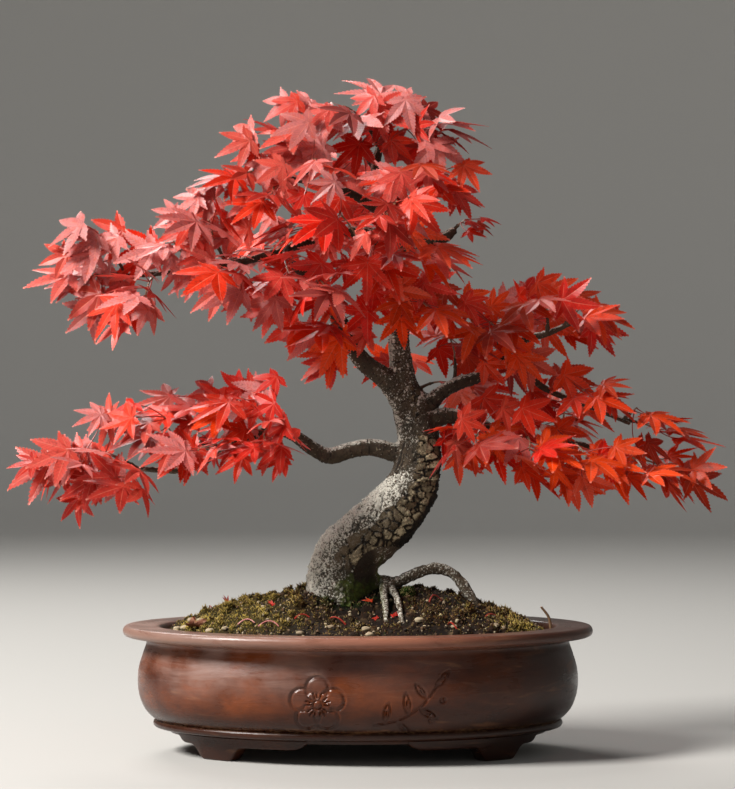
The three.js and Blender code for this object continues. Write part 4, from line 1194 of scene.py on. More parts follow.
# Dark cracks between the plates and rings on the limbs; the trunk's sunken creases are painted dark too, as
# painted shade.
crack_and_crease_shade = plate_strip * (1 - plates) + on_limbs * rings
crack_and_crease_shade += 0.75 * on_trunk * (1 - plate_strip) * (1 - eased(creases / 0.1))
marks = {
    # on the skin, and on the twigs and buried roots
    "silver_and_highlight": (silver_and_highlight, 0.15),
    "plates": (plate_strip * plates * (0.4 + 0.6 * plate_number), 0.0),
    "cracks_and_crease_shade": (crack_and_crease_shade, 0.0),
    "mossy": (mossy, 0.0),
    "pale": (pale, 0.9),
    "granules": (granules * (0.3 + 0.7 * granule_number), 0.4),
    "painted_shade": (painted_shade, 0.3),
}
bpy.ops.object.select_all(action="DESELECT")
skin.select_set(True)
extra.select_set(True)
bpy.context.view_layer.objects.active = skin
bpy.ops.object.join()
for name, (on_skin, on_twigs) in marks.items():
    values = np.concatenate([on_skin, np.full(len(added_points), on_twigs)])
    give_values(skin, name, np.clip(values, 0, 1))

# %% The bark's material
bark, tree, shader = new_material("bark", Roughness=0.85, Specular_IOR_Level=0.3)
place = object_place(tree)
silver_and_highlight, granules, plates = (stored(tree, name) for name in ("silver_and_highlight", "granules", "plates"))
fine_noise = cloudy(tree, place, 700.0, 4.0, 0.7)
flakes = cloudy(tree, place, 130.0, 5.0, 0.65)
crust_and_highlight = plus(tree, fine_noise, times(tree, flakes, 0.4))
# The silver mask lifts the crust's noise, so its pale spots gather toward the light as a painted highlight.
crust_and_highlight = plus(tree, crust_and_highlight, times(tree, silver_and_highlight, 0.42))
crust_and_highlight = plus(tree, crust_and_highlight, times(tree, granules, 0.12))

colour = mottled(tree, 9.0, (1, 1, 0.7), rgb(40, 32, 25), rgb(64, 52, 39), rgb(19, 15, 12), 0.6)
# Paler bark, which on the limbs is partly a painted light.
colour = blend(tree, times(tree, stored(tree, "pale"), 0.6), colour, rgb(104, 84, 66))
speckled = spread(tree, fine_noise, 0.56, 0.46, 0.0, 0.62)
light_specks = times(tree, spread(tree, granules, 0.55, 0.9), speckled)
colour = blend(tree, light_specks, colour, rgb(150, 136, 110))
# Painted highlight: the bark turns silvery where the silver mask lies, and the crust's brightest spots turn
# near white.
colour = blend(tree, times(tree, silver_and_highlight, 0.5), colour, rgb(124, 114, 96))
colour = blend(tree, times(tree, spread(tree, crust_and_highlight, 0.93, 1.06), 0.92), colour, rgb(232, 228, 214))
gap = times(tree, maths(tree, "SUBTRACT", 1.0, granules), times(tree, silver_and_highlight, 0.4))
colour = blend(tree, gap, colour, rgb(52, 45, 39))
# Painted shade, nearly black, on the sides away from the light.
colour = blend(tree, times(tree, stored(tree, "painted_shade"), 0.88), colour, rgb(22, 17, 14))

plate_colour = blend(tree, spread(tree, plates, 0.4, 0.9), rgb(112, 96, 72), rgb(214, 198, 162))
plate_colour = blend(tree, spread(tree, crust_and_highlight, 0.74, 0.86, 0.0, 0.75), plate_colour, rgb(74, 60, 44))
colour = blend(tree, times(tree, spread(tree, plates, 0.1, 0.4), 0.9), colour, plate_colour)
# Dark cracks and rings, and painted shade in the trunk's creases.
cracks_and_crease_shade = spread(tree, stored(tree, "cracks_and_crease_shade"), 0.3, 0.8)
colour = blend(tree, times(tree, cracks_and_crease_shade, 0.85), colour, rgb(20, 15, 12))
grain = grained(tree, 1.1, 0.6)["Height"]
moss_tint = blend(tree, grain, rgb(28, 40, 16), rgb(88, 102, 38))
feed(tree, shader, "Base Color", blend(tree, stored(tree, "mossy"), colour, moss_tint))
add_relief(tree, shader, plus(tree, grain, times(tree, flakes, 2.0)), 1.0)
finish_piece(skin, bark, "bark", "wood")

# %% [markdown]
# ## The leaves
#
# A Japanese maple leaf is a hand of five or seven lobes on a thin stalk, the petiole. In the CAD each leaf
# is a plain star of triangles. The fine leaves sit on the same frames, so the first step reads those
# frames back from the CAD shoots. The middle of a star's underside is the one corner that meets exactly
# as many others as the star's outline has.

# %% Reading the CAD leaves
SEVEN_LOBES = [(-124, 0.38), (-80, 0.68), (-39, 0.9), (0, 1.0), (39, 0.9), (80, 0.68), (124, 0.38)]
FIVE_LOBES = [(-96, 0.56), (-46, 0.88), (0, 1.0), (46, 0.88), (96, 0.56)]
NOTCH = 0.34
TIP_DROOP = 0.13
NOTCH_LIFT = 0.045
LEAF_BASE = 0.07
SEVEN_CORNERS = 2 * len(SEVEN_LOBES) + 1
FIVE_CORNERS = 2 * len(FIVE_LOBES) + 1


class Leaf:
    """A leaf: where it sits, its three directions, its lobes, its length, and the foot of its petiole."""

    def __init__(self, hub, across, tip, face, lobes, length, foot):
        self.hub, self.across, self.tip, self.face = hub, across, tip, face
        self.lobes, self.length, self.foot = lobes, length, foot

    def world(self, local):
        return self.hub + local @ np.stack([self.across, self.tip, self.face])


def read_leaves(node):
    """The leaves of one CAD shoot."""
    mesh = frame["nodes"][node].data
    points, back = np.unique(np.round(drawn(vectors_of(mesh)), 2), axis=0, return_inverse=True)
    back = back.ravel()
    meets = [{} for _ in points]
    for polygon in mesh.polygons:
        a, b, c = (back[i] for i in polygon.vertices)
        for p, q, r in ((a, b, c), (b, c, a), (c, a, b)):
            meets[p][q] = r
    leaves = []
    for under, around in enumerate(meets):
        if len(around) not in (FIVE_CORNERS, SEVEN_CORNERS):
            continue
        start = next(iter(around))
        ring = [start]
        while around.get(ring[-1], start) != start and len(ring) <= SEVEN_CORNERS:
            ring.append(around[ring[-1]])
        if len(ring) != len(around):
            continue
        tops = set.intersection(*(set(meets[i]) for i in ring)) - {under}
        if len(tops) != 1:
            continue
        top = tops.pop()
        gaps = [np.linalg.norm(points[ring[i]] - points[ring[i - 1]]) for i in range(len(ring))]
        first = int(np.argmin(gaps))
        ring = ring[first:] + ring[:first]
        middle = (points[top] + points[under]) / 2
        face = unit(points[top] - points[under])
        ahead = points[ring[len(ring) // 2]] - middle
        ahead = ahead - face * (ahead @ face)
        stem = (set(meets[top]) | set(meets[ring[0]]) | set(meets[ring[-1]])) - set(ring) - {top, under}
        foot = points[list(stem)].mean(axis=0)
        lobes = SEVEN_LOBES if len(ring) == SEVEN_CORNERS else FIVE_LOBES
        leaves.append(Leaf(middle, unit(np.cross(ahead, face)), unit(ahead), face, lobes,
                           np.linalg.norm(ahead), foot))
    return leaves


leaves_of = {node: read_leaves(node) for node in twig_lines}
cad_leaves = [leaf for leaves in leaves_of.values() for leaf in leaves]
lengths = [leaf.length for leaf in cad_leaves]
print("leaves read from the CAD:", len(cad_leaves), "length", round(min(lengths), 1), "to",
      round(max(lengths), 1), "mm")

# %% [markdown]
# ## More leaves
#
# The CAD holds the leaves that give each shoot its form. The real tree carries more of them, where there
# is light. They could be strewn at random, but then they would pile up. Here each new leaf goes where the
# front of its cloud of foliage still has a gap. A leaf is taken only if it crosses no other.

# %% The clouds of foliage
CLOUDS = [
    # x, z, half-width, half-height
    (23, 428, 34, 31), (-46, 414, 44, 36), (42, 402, 41, 34), (-18, 363, 64, 58), (-97, 343, 46, 42),
    (-44, 316, 50, 32), (-6, 300, 26, 30), (44, 306, 24, 28), (-16, 264, 22, 13), (-178, 327, 36, 34),
    (-158, 298, 26, 18), (-74, 284, 16, 16), (-193, 190, 35, 27), (-106, 221, 60, 31), (-62, 200, 20, 14),
    (122, 306, 46, 21), (83, 285, 34, 34), (108, 221, 54, 32),
    (190, 194, 28, 20), (116, 254, 28, 20), (142, 186, 34, 14), (68, 200, 22, 14), (-166, 230, 26, 12),
    (-72, 248, 40, 10), (-188, 350, 26, 12), (-174, 286, 16, 14), (144, 252, 22, 12),
]
OPENINGS = [(84, 346, 38, 28), (182, 270, 26, 12), (2, 250, 14, 20)]
CELL = 3.0
GRID_LOW = np.array([-250.0, 100.0])
GRID_SHAPE = (167, 122)
cell_x = GRID_LOW[0] + CELL * (np.arange(GRID_SHAPE[0]) + 0.5)
cell_z = GRID_LOW[1] + CELL * (np.arange(GRID_SHAPE[1]) + 0.5)


def inside_oval(x, z, half_x, half_z):
    """Which cells of the front view lie inside an oval."""
    return ((cell_x[:, None] - x) / half_x) ** 2 + ((cell_z[None, :] - z) / half_z) ** 2 < 1


wanted = np.any([inside_oval(*cloud) for cloud in CLOUDS], axis=0)
wanted &= ~np.any([inside_oval(*opening) for opening in OPENINGS], axis=0)


def outline_of(lobes):
    """A leaf's outline in shares of its length, from its right base round to its left base."""
    def turned(degrees, reach, lift):
        a = math.radians(degrees)
        return (-reach * math.sin(a), reach * math.cos(a), lift)
    line = [(0.018, -LEAF_BASE, 0.0)]
    for i, (angle, reach) in enumerate(lobes):
        if i > 0:
            before, size = lobes[i - 1]
            line.append(turned((before + angle) / 2, NOTCH * (0.55 + 0.5 * min(size, reach)), NOTCH_LIFT))
        line.append(turned(angle, reach, -TIP_DROOP * reach))
    return np.array(line + [(-0.018, -LEAF_BASE, 0.0)])


STARS = {len(lobes): outline_of(lobes) for lobes in (SEVEN_LOBES, FIVE_LOBES)}


def star_of(leaf):
    """The corners of the plain star that a leaf fills."""
    return leaf.world(np.vstack([np.zeros(3), STARS[len(leaf.lobes)]]) * leaf.length)


def covered_cells(leaf):
    """The cells of the front view that a leaf covers."""
    star = star_of(leaf)
    a, b, c = star[:1], star[1:-1], star[2:]
    shares = [(i / 6, j / 6) for i in range(7) for j in range(7 - i)]
    spots = np.concatenate([a + (b - a) * s + (c - a) * t for s, t in shares])
    index = np.floor((spots[:, [0, 2]] - GRID_LOW) / CELL).astype(int)
    index = np.clip(index, 0, np.array(GRID_SHAPE) - 1)
    return np.unique(index[:, 0] * GRID_SHAPE[1] + index[:, 1])


def crossing_test(leaf):
    """A search tree of a leaf's star, to find what crosses it."""
    star = star_of(leaf)
    corners = [Vector(p) for p in star]
    return BVHTree.FromPolygons(corners, [(0, i, i + 1) for i in range(1, len(star) - 1)])


def share_covered():
    """The share of the clouds that has a leaf in front."""
    return round(float((covered.reshape(GRID_SHAPE) > 0)[wanted].mean()), 2)


covered = np.zeros(GRID_SHAPE[0] * GRID_SHAPE[1], int)
for leaf in cad_leaves:
    covered[covered_cells(leaf)] += 1
print("share of the clouds covered by CAD leaves:", share_covered())

# %% [markdown]
# A new leaf starts at a place on a twig. Its face looks up, outwards and to the viewer's side of the tree,
# and its middle lobe hangs outwards and down, as on the other leaves.

# %% Growing the other leaves
AXIS_X = 25.0
random_leaf = random.Random(23)


def hanging_frame(foot, stray):
    """The directions of a leaf that hangs near a place on the wood."""
    out = unit([foot[0] - AXIS_X, foot[1] * 1.3, 0.0])
    wobble = np.array([random_leaf.uniform(-1, 1) for _ in range(3)])
    forward = -1.0 if foot[1] < 30 else 0.3
    face = unit(np.array([0, 0, 0.42]) + 0.34 * out + np.array([0, forward, 0]) + 0.42 * stray * wobble)
    wobble = np.array([random_leaf.uniform(-1, 1) for _ in range(3)])
    spread_x = np.clip((foot[0] - AXIS_X) / 80, -1, 1)
    tip = np.array([0.9 * spread_x, 0, -0.75]) + 0.7 * out + 0.6 * stray * wobble
    tip = unit(tip - face * (tip @ face))
    return np.cross(tip, face), tip, face


feet = [(twig.point(t), node) for node, twig in twig_lines.items() for t in np.linspace(0.3, 1.0, 15)]
feet_places = np.array([place for place, _ in feet])
all_leaves = list(cad_leaves)
tests = [crossing_test(leaf) for leaf in cad_leaves]
hubs = [leaf.hub for leaf in cad_leaves]
LEAF_LENGTH = 31.0
NEW_LEAVES = 250
CANDIDATES = 26
SHORTEST_PETIOLE = 5.0
LONGEST_PETIOLE = 27.0
SEARCH_REACH = 34
HUBS_APART = 7
LEAVES_MEET = 62
LEAST_GAIN = 2.0
SECOND_LAYER_GAIN = 0.45
OUTSIDE_COST = 1.2
PETIOLE_COST = 0.35
MOST_MISSES = 380
BOX_MARGIN = 0.8
box_low = drawn([list(cad_low)])[0] + BOX_MARGIN
box_high = drawn([list(cad_high)])[0] - BOX_MARGIN
misses = 0
while len(all_leaves) < len(cad_leaves) + NEW_LEAVES and misses < MOST_MISSES:
    layers_wanted = 0 if random_leaf.random() < 0.5 else 1
    bare = np.flatnonzero((covered.reshape(GRID_SHAPE) <= layers_wanted) & wanted)
    best, best_gain = None, LEAST_GAIN
    for _ in range(CANDIDATES):
        spot = random_leaf.choice(bare)
        target_x, target_z = cell_x[spot // GRID_SHAPE[1]], cell_z[spot % GRID_SHAPE[1]]
        away = np.hypot(feet_places[:, 0] - target_x, feet_places[:, 2] - target_z)
        near = np.flatnonzero(away < SEARCH_REACH)
        if len(near) == 0:
            continue
        pick = near[random_leaf.randrange(len(near))]
        if feet_places[pick][1] > -8 and random_leaf.random() < 0.8:
            pick = near[random_leaf.randrange(len(near))]
        foot, node = feet[pick]
        across, tip, face = hanging_frame(foot, random_leaf.uniform(0.5, 1.5))
        length = LEAF_LENGTH * random_leaf.uniform(0.62, 0.98)
        middle_y = foot[1] + random_leaf.uniform(-12, 5)
        hub = np.array([target_x, middle_y, target_z]) - 0.33 * length * tip
        petiole = np.linalg.norm(hub - foot)
        if not SHORTEST_PETIOLE < petiole < LONGEST_PETIOLE:
            continue
        lobes = SEVEN_LOBES if random_leaf.random() < 0.4 else FIVE_LOBES
        leaf = Leaf(hub, across, tip, face, lobes, length, foot)
        star = star_of(leaf)
        if (star < box_low).any() or (star > box_high).any():
            continue
        spots = covered_cells(leaf)
        inside = wanted.ravel()[spots]
        layers = covered[spots]
        gain = float((inside & (layers == 0)).sum() + SECOND_LAYER_GAIN * (inside & (layers == 1)).sum()
                     - OUTSIDE_COST * (~inside).sum() - PETIOLE_COST * petiole)
        if gain <= best_gain:
            continue
        test = crossing_test(leaf)
        close = [i for i, other in enumerate(hubs) if abs(other - hub).max() < LEAVES_MEET]
        if any(np.linalg.norm(hubs[i] - hub) < HUBS_APART or tests[i].overlap(test) for i in close):
            continue
        best, best_gain, best_test, best_node = leaf, gain, test, node
    if best is None:
        misses += 1
        continue
    all_leaves.append(best)
    leaves_of[best_node].append(best)
    tests.append(best_test)
    hubs.append(best.hub)
    covered[covered_cells(best)] += 1
print("leaves in all:", len(all_leaves), "share of the clouds covered:", share_covered())

# %% [markdown]
# ## The shape of a leaf
#
# A lobe is a lance with a saw-toothed edge, folded along its midrib, and the lobes join in the inner third
# of the leaf. A picture of a leaf on a card would be quick, but it has no edge and no fold when seen from
# the side. So each leaf is a real thin blade: two faces that share the toothed edge, each lobe a strip
# along its midrib. All leaves with the same number of lobes have the same faces, so only their points
# are worked out one by one.

# %% The pattern of faces
MAIN_TEETH = 8
SIDE_TEETH = 5
SMALL_LOBE = 0.6
BLADE_HALF = 0.2
TOOTH_HEIGHT = 0.042
TOOTH_LEAN = 0.022


class Blade:
    """The faces of a blade with these lobes, and where each of its points lies on its lobe."""

    def __init__(self, lobes):
        self.lobes = lobes
        self.rows = []
        self.faces = []
        hub_top, hub_under = self.add("hub", 0, 1, 0.0), self.add("hub", 0, -1, 0.0)
        rays = [self.ray(i) for i in range(len(lobes) + 1)]
        self.faces += [(hub_top, rays[-1][2], rays[0][2]), (hub_under, rays[0][2], rays[-1][2])]
        for i, (_, reach) in enumerate(lobes):
            teeth = MAIN_TEETH if reach > SMALL_LOBE else SIDE_TEETH
            ribs = [[self.add("rib", i, side, share) for share in (-0.5, *np.arange(teeth) / teeth)]
                    for side in (1, -1)]
            tip = self.add("tip", i, 0, 1.0)
            for hand in (0, 1):
                ray = rays[i + hand]
                edge = [ray[2]]
                for k in range(teeth):
                    edge.append(self.add("tooth", i, hand, (k + 0.62) / teeth))
                    edge.append(self.add("edge", i, hand, (k + 1) / teeth) if k + 1 < teeth else tip)
                for layer, hub in ((0, hub_top), (1, hub_under)):
                    rib = ribs[layer] + [tip]
                    faces = [(hub, ray[layer], rib[0]), (rib[0], ray[layer], edge[0], rib[1])]
                    for k in range(teeth):
                        a, b, c = edge[2 * k], edge[2 * k + 1], edge[2 * k + 2]
                        faces.append((rib[k + 1], a, b))
                        last = k + 1 == teeth
                        faces.append((rib[k + 1], b, c) if last else (rib[k + 1], b, c, rib[k + 2]))
                    if (layer == 0) != (hand == 0):
                        faces = [face[::-1] for face in faces]
                    self.faces += faces

    def add(self, *row):
        self.rows.append(row)
        return len(self.rows) - 1

    def ray(self, i):
        """The line from the hub to a notch: its middle on both faces, and its end on the edge."""
        return [self.add("ray", i, 1, 0.5), self.add("ray", i, -1, 0.5), self.add("notch", i, 0, 1.0)]


# %% [markdown]
# The points follow a few rules. The half-width of a lobe swells a little past the notch and then draws out
# to a long point. The halves rise from the midrib like a shallow V, the tips hang, and some curl as they
# dry. Every leaf draws its own strengths for these.


# %% The points of one leaf
def blade_points(blade, length, rng):
    """Points in millimetres, how far each is across its lobe, and how far along it."""
    lobes = blade.lobes
    star = STARS[len(lobes)]
    fold = rng.uniform(0.08, 0.34)
    cup = rng.uniform(-0.05, 0.10)
    lobe_bend = [rng.uniform(-0.10, 0.10) for _ in lobes]
    lobe_curl = [rng.uniform(-0.14, 0.16) for _ in lobes]
    lobe_twist = [rng.uniform(-0.22, 0.22) for _ in lobes]
    plump = rng.uniform(1.7, 2.3)
    deeper = rng.uniform(0.86, 1.0)

    def axis(i):
        """The directions along a lobe and across it."""
        return heading(lobes[i][0] + 90), -heading(lobes[i][0])

    def notch(i):
        return star[0] if i == 0 else star[-1] if i == len(lobes) else deeper * star[2 * i]

    def on_lobe(i, s, off):
        """The place that lies this far along a lobe and this far off its midrib."""
        way, side = axis(i)
        reach = lobes[i][1]
        u = s / reach
        x, y = way * s + side * (off + lobe_bend[i] * reach * u ** 2.2)
        droop = -TIP_DROOP * reach * u ** 1.7 - 0.9 * lobe_curl[i] * reach * max(0.0, u - 0.45) ** 2
        return x, y, droop + fold * abs(off) + lobe_twist[i] * off * u + cup * s * s

    def edge_of(i, hand, share):
        """How far along a lobe a place on its edge lies, and how far off the midrib."""
        way, side = axis(i)
        reach = lobes[i][1]
        corner = notch(i + hand)[:2]
        s0, h0, belly = corner @ way, abs(corner @ side), 0.0
        if i + hand in (0, len(lobes)):
            s0, h0 = -0.03, 0.03
            belly = 0.075 * math.sin(math.pi * min(1.0, 1.25 * share)) * reach / 0.56
        swell = plump if reach > SMALL_LOBE else 0.9
        half = 1.02 * h0 * (1 - share) ** 1.2 * (1 + swell * share) + belly
        return s0 + (reach - s0) * share, half

    table = []
    for name, i, mark, share in blade.rows:
        reach = lobes[i % len(lobes)][1]
        thick = mark * BLADE_HALF / length
        if name == "hub":
            x, y, z = 0, 0, 1.3 * thick
            across, along = 0.0, 0.0
        elif name in ("ray", "notch"):
            x, y, _ = notch(i) * share
            z = thick + (0.096 * fold * share if 0 < i < len(lobes) else 0.0)
            across, along = 1.0, 0.3 * share
        elif name in ("rib", "tip"):
            s0 = max(0.12, min(notch(j)[:2] @ axis(i)[0] for j in (i, i + 1)))
            s = 0.5 * s0 if share < 0 else s0 + (reach - s0) * share
            x, y, z = on_lobe(i, s, 0.0)
            z += thick * (1 - 0.75 * s / reach)
            across, along = 0.0, s / reach
        else:
            s, half = edge_of(i, mark, share)
            if name == "tooth":
                half += TOOTH_HEIGHT * (1 - 0.6 * share)
                s += TOOTH_LEAN
            x, y, z = on_lobe(i, s, half if mark == 1 else -half)
            across, along = 1.0 + 0.25 * (name == "tooth"), s / reach
        table.append((x, y, z, across, along))
    table = np.array(table, float)
    return table[:, :3] * length, table[:, 3], table[:, 4]


BLADES = {len(lobes): Blade(lobes) for lobes in (SEVEN_LOBES, FIVE_LOBES)}
for count, blade in BLADES.items():
    print(count, "lobes:", len(blade.rows), "points,", sum(len(f) - 2 for f in blade.faces), "triangles")

# %% [markdown]
# The colours of autumn differ over the tree: the middle is a full red and the right side is still
# orange-red. The upper left, toward the light, leans to a lighter salmon, partly as painted light, and
# gets a painted sheen: a pale painted highlight with lilac patches. Each leaf gets a tone by its place with
# a little chance in it, and so does its petiole.

# %% Leaves and stems in pieces
PETIOLE_RADIUS = 0.42


def petiole_body(leaf):
    """A thin stalk that leaves the stem and comes in under the blade."""
    reach = np.linalg.norm(leaf.hub - leaf.foot)
    behind = leaf.hub - 0.42 * reach * leaf.tip - 0.08 * reach * leaf.face
    middle = 0.45 * (leaf.hub + leaf.foot) / 2 + 0.55 * behind
    end = leaf.hub + 0.4 * leaf.tip - 0.12 * leaf.face

    def radius(t):
        return PETIOLE_RADIUS * (1.25 - 0.5 * math.sin(math.pi * min(1, t * 1.1)))
    return sweep(lambda t: bow(leaf.foot, middle, end, t), radius, 5, 6)


MARK_NAMES = ("across", "along", "tone", "painted_sheen", "dark", "stem")


def marks_of(count, across, along, tones, stem):
    """The marks of one body, by name order: its place on the lobe, its tones, and 1 for a stem."""
    return [np.broadcast_to(np.asarray(v, float), (count,)) for v in (across, along, *tones, stem)]


def give_marks(piece, marks):
    """Stores the marks of all the bodies in a piece at its points."""
    for name, columns_of in zip(MARK_NAMES, zip(*marks)):
        give_values(piece, name, np.concatenate(columns_of))


def leaf_tone(leaf, rng):
    """Tone from 0 (salmon) over 0.5 (red) to 1 (orange-red), painted sheen and darkness from 0 to 1."""
    x, _, z = leaf.hub
    heart = math.exp(-((x - 15) / 70) ** 2 - ((z - 300) / 45) ** 2)
    # The tone falls toward salmon at the upper left, where the light falls, partly as painted light, and
    # rises toward orange-red on the right.
    tone = 0.46 + 0.0026 * (x - 0.5 * (z - 300)) + 0.35 * heart + rng.gauss(0, 0.22)
    # Painted sheen: strongest at the upper left, toward the light, and weaker in the heart of the crown.
    painted_sheen = 0.26 - 0.0028 * x + 0.0026 * (z - 300) - 0.2 * heart + rng.gauss(0, 0.44)
    dark = rng.gauss(0.22, 0.34) - 0.3 * heart
    return [min(1.0, max(0.0, value)) ** power for value, power in ((tone, 1), (painted_sheen, 1.5), (dark, 1))]


BORDER = 3.0


def held_inside(points):
    """The points of a leaf, with tips that come close to the sides of the CAD box drawn gently in."""
    for limit, sign in ((box_low, -1), (box_high, 1)):
        over = np.maximum(sign * (points - limit) + BORDER, 0.0)
        points = points - sign * (over - BORDER * (1 - np.exp(-over / BORDER)))
    return points


foliage = {}
for node, leaves in leaves_of.items():
    limb_name = node[len("shoot_"):].rsplit("_", 1)[0]
    foliage.setdefault(limb_name, []).append((node, leaves))

leaf_pieces = []
shape_rng = random.Random(5)
for limb_name, shoots in foliage.items():
    bodies, marks = [], []
    for node, leaves in shoots:
        twig = twig_lines[node]
        bodies.append(sweep(twig.point, noded(twig), 6, 20, start=WOODY_SHARE - 0.01))
        marks.append(marks_of(len(bodies[-1][0]), 0, 0, (0.3, 0, 0.3), 0.5))
        for leaf in leaves:
            blade = BLADES[len(leaf.lobes)]
            local, across, along_lobe = blade_points(blade, leaf.length, shape_rng)
            tones = leaf_tone(leaf, shape_rng)
            bodies += [(held_inside(leaf.world(local)), [blade.faces]), petiole_body(leaf)]
            marks += [marks_of(len(local), across, along_lobe, tones, 0.0),
                      marks_of(len(bodies[-1][0]), 0, 0, tones, 1.0)]
    points, faces = gather(bodies)
    piece = make_object("leaves_" + limb_name, placed(points), faces, smooth_angle=20)
    give_marks(piece, marks)
    leaf_pieces.append((piece, [node for node, _ in shoots]))

# %% [markdown]
# A leaf lets light through, so its material mixes a waxy surface with a translucent one. The colour runs
# from the tone of the leaf: darker along the side veins, paler along midribs and at the drying tips, with
# fine specks, dark and light. A painted sheen, a pale painted highlight, lies over it, and where it is
# strong, lilac patches of painted highlight lie over it too.

# %% The leaf's material
leaf_material, tree, shader = new_material("maple_leaf", Roughness=0.36, Specular_IOR_Level=0.42)
names = ("tone", "painted_sheen", "across", "along", "stem")
tone, painted_sheen, across, along, stem = (stored(tree, name) for name in names)
blotch = cloudy(tree, object_place(tree), 260.0, 5.0, 0.7)
colour = blend(tree, spread(tree, tone, 0.0, 0.5), rgb(236, 60, 26), rgb(228, 30, 4))
colour = blend(tree, spread(tree, tone, 0.5, 1.0), colour, rgb(250, 80, 6))
# Painted sheen: a pale pink painted highlight, with lilac patches of painted highlight where it is strong.
colour = blend(tree, times(tree, painted_sheen, 0.7), colour, rgb(220, 138, 126))
lilac = times(tree, spread(tree, painted_sheen, 0.5, 1.0), spread(tree, blotch, 0.36, 0.56, 0.1, 0.62))
colour = blend(tree, lilac, colour, rgb(236, 172, 172))
colour = blend(tree, times(tree, stored(tree, "dark"), 0.75), colour, rgb(128, 12, 5))
vein_place = maths(tree, "SUBTRACT", times(tree, along, 11.0), times(tree, across, 1.4))
vein_wave = maths(tree, "ABSOLUTE", maths(tree, "SUBTRACT", maths(tree, "FRACT", vein_place), 0.5))
side_vein = spread(tree, vein_wave, 0.40, 0.48)
midrib = spread(tree, across, 0.10, 0.03)
colour = blend(tree, times(tree, side_vein, 0.38), colour, rgb(104, 12, 8))
colour = blend(tree, times(tree, midrib, 0.5), colour, rgb(236, 150, 122))
colour = blend(tree, spread(tree, blotch, 0.52, 0.7, 0.0, 0.5), colour, rgb(112, 14, 8))
colour = blend(tree, spread(tree, blotch, 0.46, 0.30, 0.0, 0.3), colour, rgb(234, 104, 70))
dry_edge = times(tree, spread(tree, across, 0.98, 1.2), 0.5)
dry = maths(tree, "MAXIMUM", spread(tree, along, 0.88, 1.0), dry_edge)
colour = blend(tree, times(tree, dry, 0.6), colour, rgb(232, 170, 152))
stem_colour = blend(tree, spread(tree, stem, 0.6, 0.9), rgb(126, 98, 72), rgb(158, 50, 38))
on_stem = spread(tree, stem, 0.2, 0.4)
colour = blend(tree, on_stem, colour, stem_colour)
feed(tree, shader, "Base Color", colour)
add_relief(tree, shader, plus(tree, times(tree, side_vein, -0.5), blotch), 0.12)

on_blade = maths(tree, "SUBTRACT", 1.0, on_stem)
glow = blend(tree, times(tree, on_blade, 0.55), colour, rgb(250, 66, 8))
through = add_node(tree, "BsdfTranslucent", {"Color": glow})
mix = add_node(tree, "MixShader", {0: times(tree, on_blade, 0.38), 1: shader.outputs[0],
                                   2: through.outputs[0]})
output = next(node for node in tree.nodes if node.bl_idname == "ShaderNodeOutputMaterial")
feed(tree, output, "Surface", mix.outputs[0])
for piece, nodes in leaf_pieces:
    finish_piece(piece, leaf_material, "leaf", *nodes)

# %% [markdown]
# ## Moss
#
# Moss is a crowd of tiny upright shoots. Hair particles would be the quick way, but they are lost when the
# model is taken elsewhere. So each shoot is a small pointed solid of its own. They stand on the bed where
# the moss is thick, and lean a little in all directions. A ball of cushion moss sits beside the roots.

# %% The surface of the bed
bed_tree = BVHTree.FromPolygons([Vector(p) for p in bed_points.tolist()],
                                [face for part in bed_faces[:2] for face in part.tolist()])
DOWN = Vector((0, 0, -1))
TRUNK_FOOT_X = -13.8
TRUNK_FOOT_REACH = 21.5


def bed_under(x, y):
    """The height of the fine bed at a place, or none outside it."""
    hit = bed_tree.ray_cast(Vector((x, y, 160.0)), DOWN)[0]
    return None if hit is None else hit.z


def inside_trunk(x, y):
    """Whether the trunk's foot stands on a place."""
    return math.hypot(x - TRUNK_FOOT_X, y) < TRUNK_FOOT_REACH


def inside_bed(x, y, margin):
    """Whether a place lies this far or more inside the bed's edge."""
    return (x / (SOIL_HALF - margin)) ** 2 + (y / (SOIL_HALF_DEPTH - margin)) ** 2 < 1


MOSS_SHOOTS = 21000
MOSS_MARGIN = 2
moss_rng = np.random.default_rng(41)
tries = moss_rng.uniform(-1, 1, (MOSS_SHOOTS * 4, 2))
tries *= [SOIL_HALF - MOSS_MARGIN, SOIL_HALF_DEPTH - MOSS_MARGIN]
tries = tries[inside_bed(tries[:, 0], tries[:, 1], MOSS_MARGIN)]
cover, tone = moss_cover(tries[:, 0], tries[:, 1])
swell = cushion_at(tries[:, 0], tries[:, 1])
kept = moss_rng.random(len(tries)) < (0.1 + 0.9 * cover) * np.clip(0.15 + 1.3 * swell, 0, 1)
cover = cover * np.clip(0.35 + 0.8 * swell, 0, 1.2)
places, cover, tone = tries[kept][:MOSS_SHOOTS], cover[kept][:MOSS_SHOOTS], tone[kept][:MOSS_SHOOTS]
rooted, strength, tones = [], [], []
for (x, y), thick, shade in zip(places.tolist(), cover, tone):
    z = bed_under(x, y)
    if z is not None and not inside_trunk(x, y):
        rooted.append((x, y, z))
        strength.append(thick)
        tones.append(shade)
rooted, strength, tones = np.array(rooted), np.array(strength), np.array(tones)
upright = np.tile([0.0, 0.0, 1.0], (len(rooted), 1))

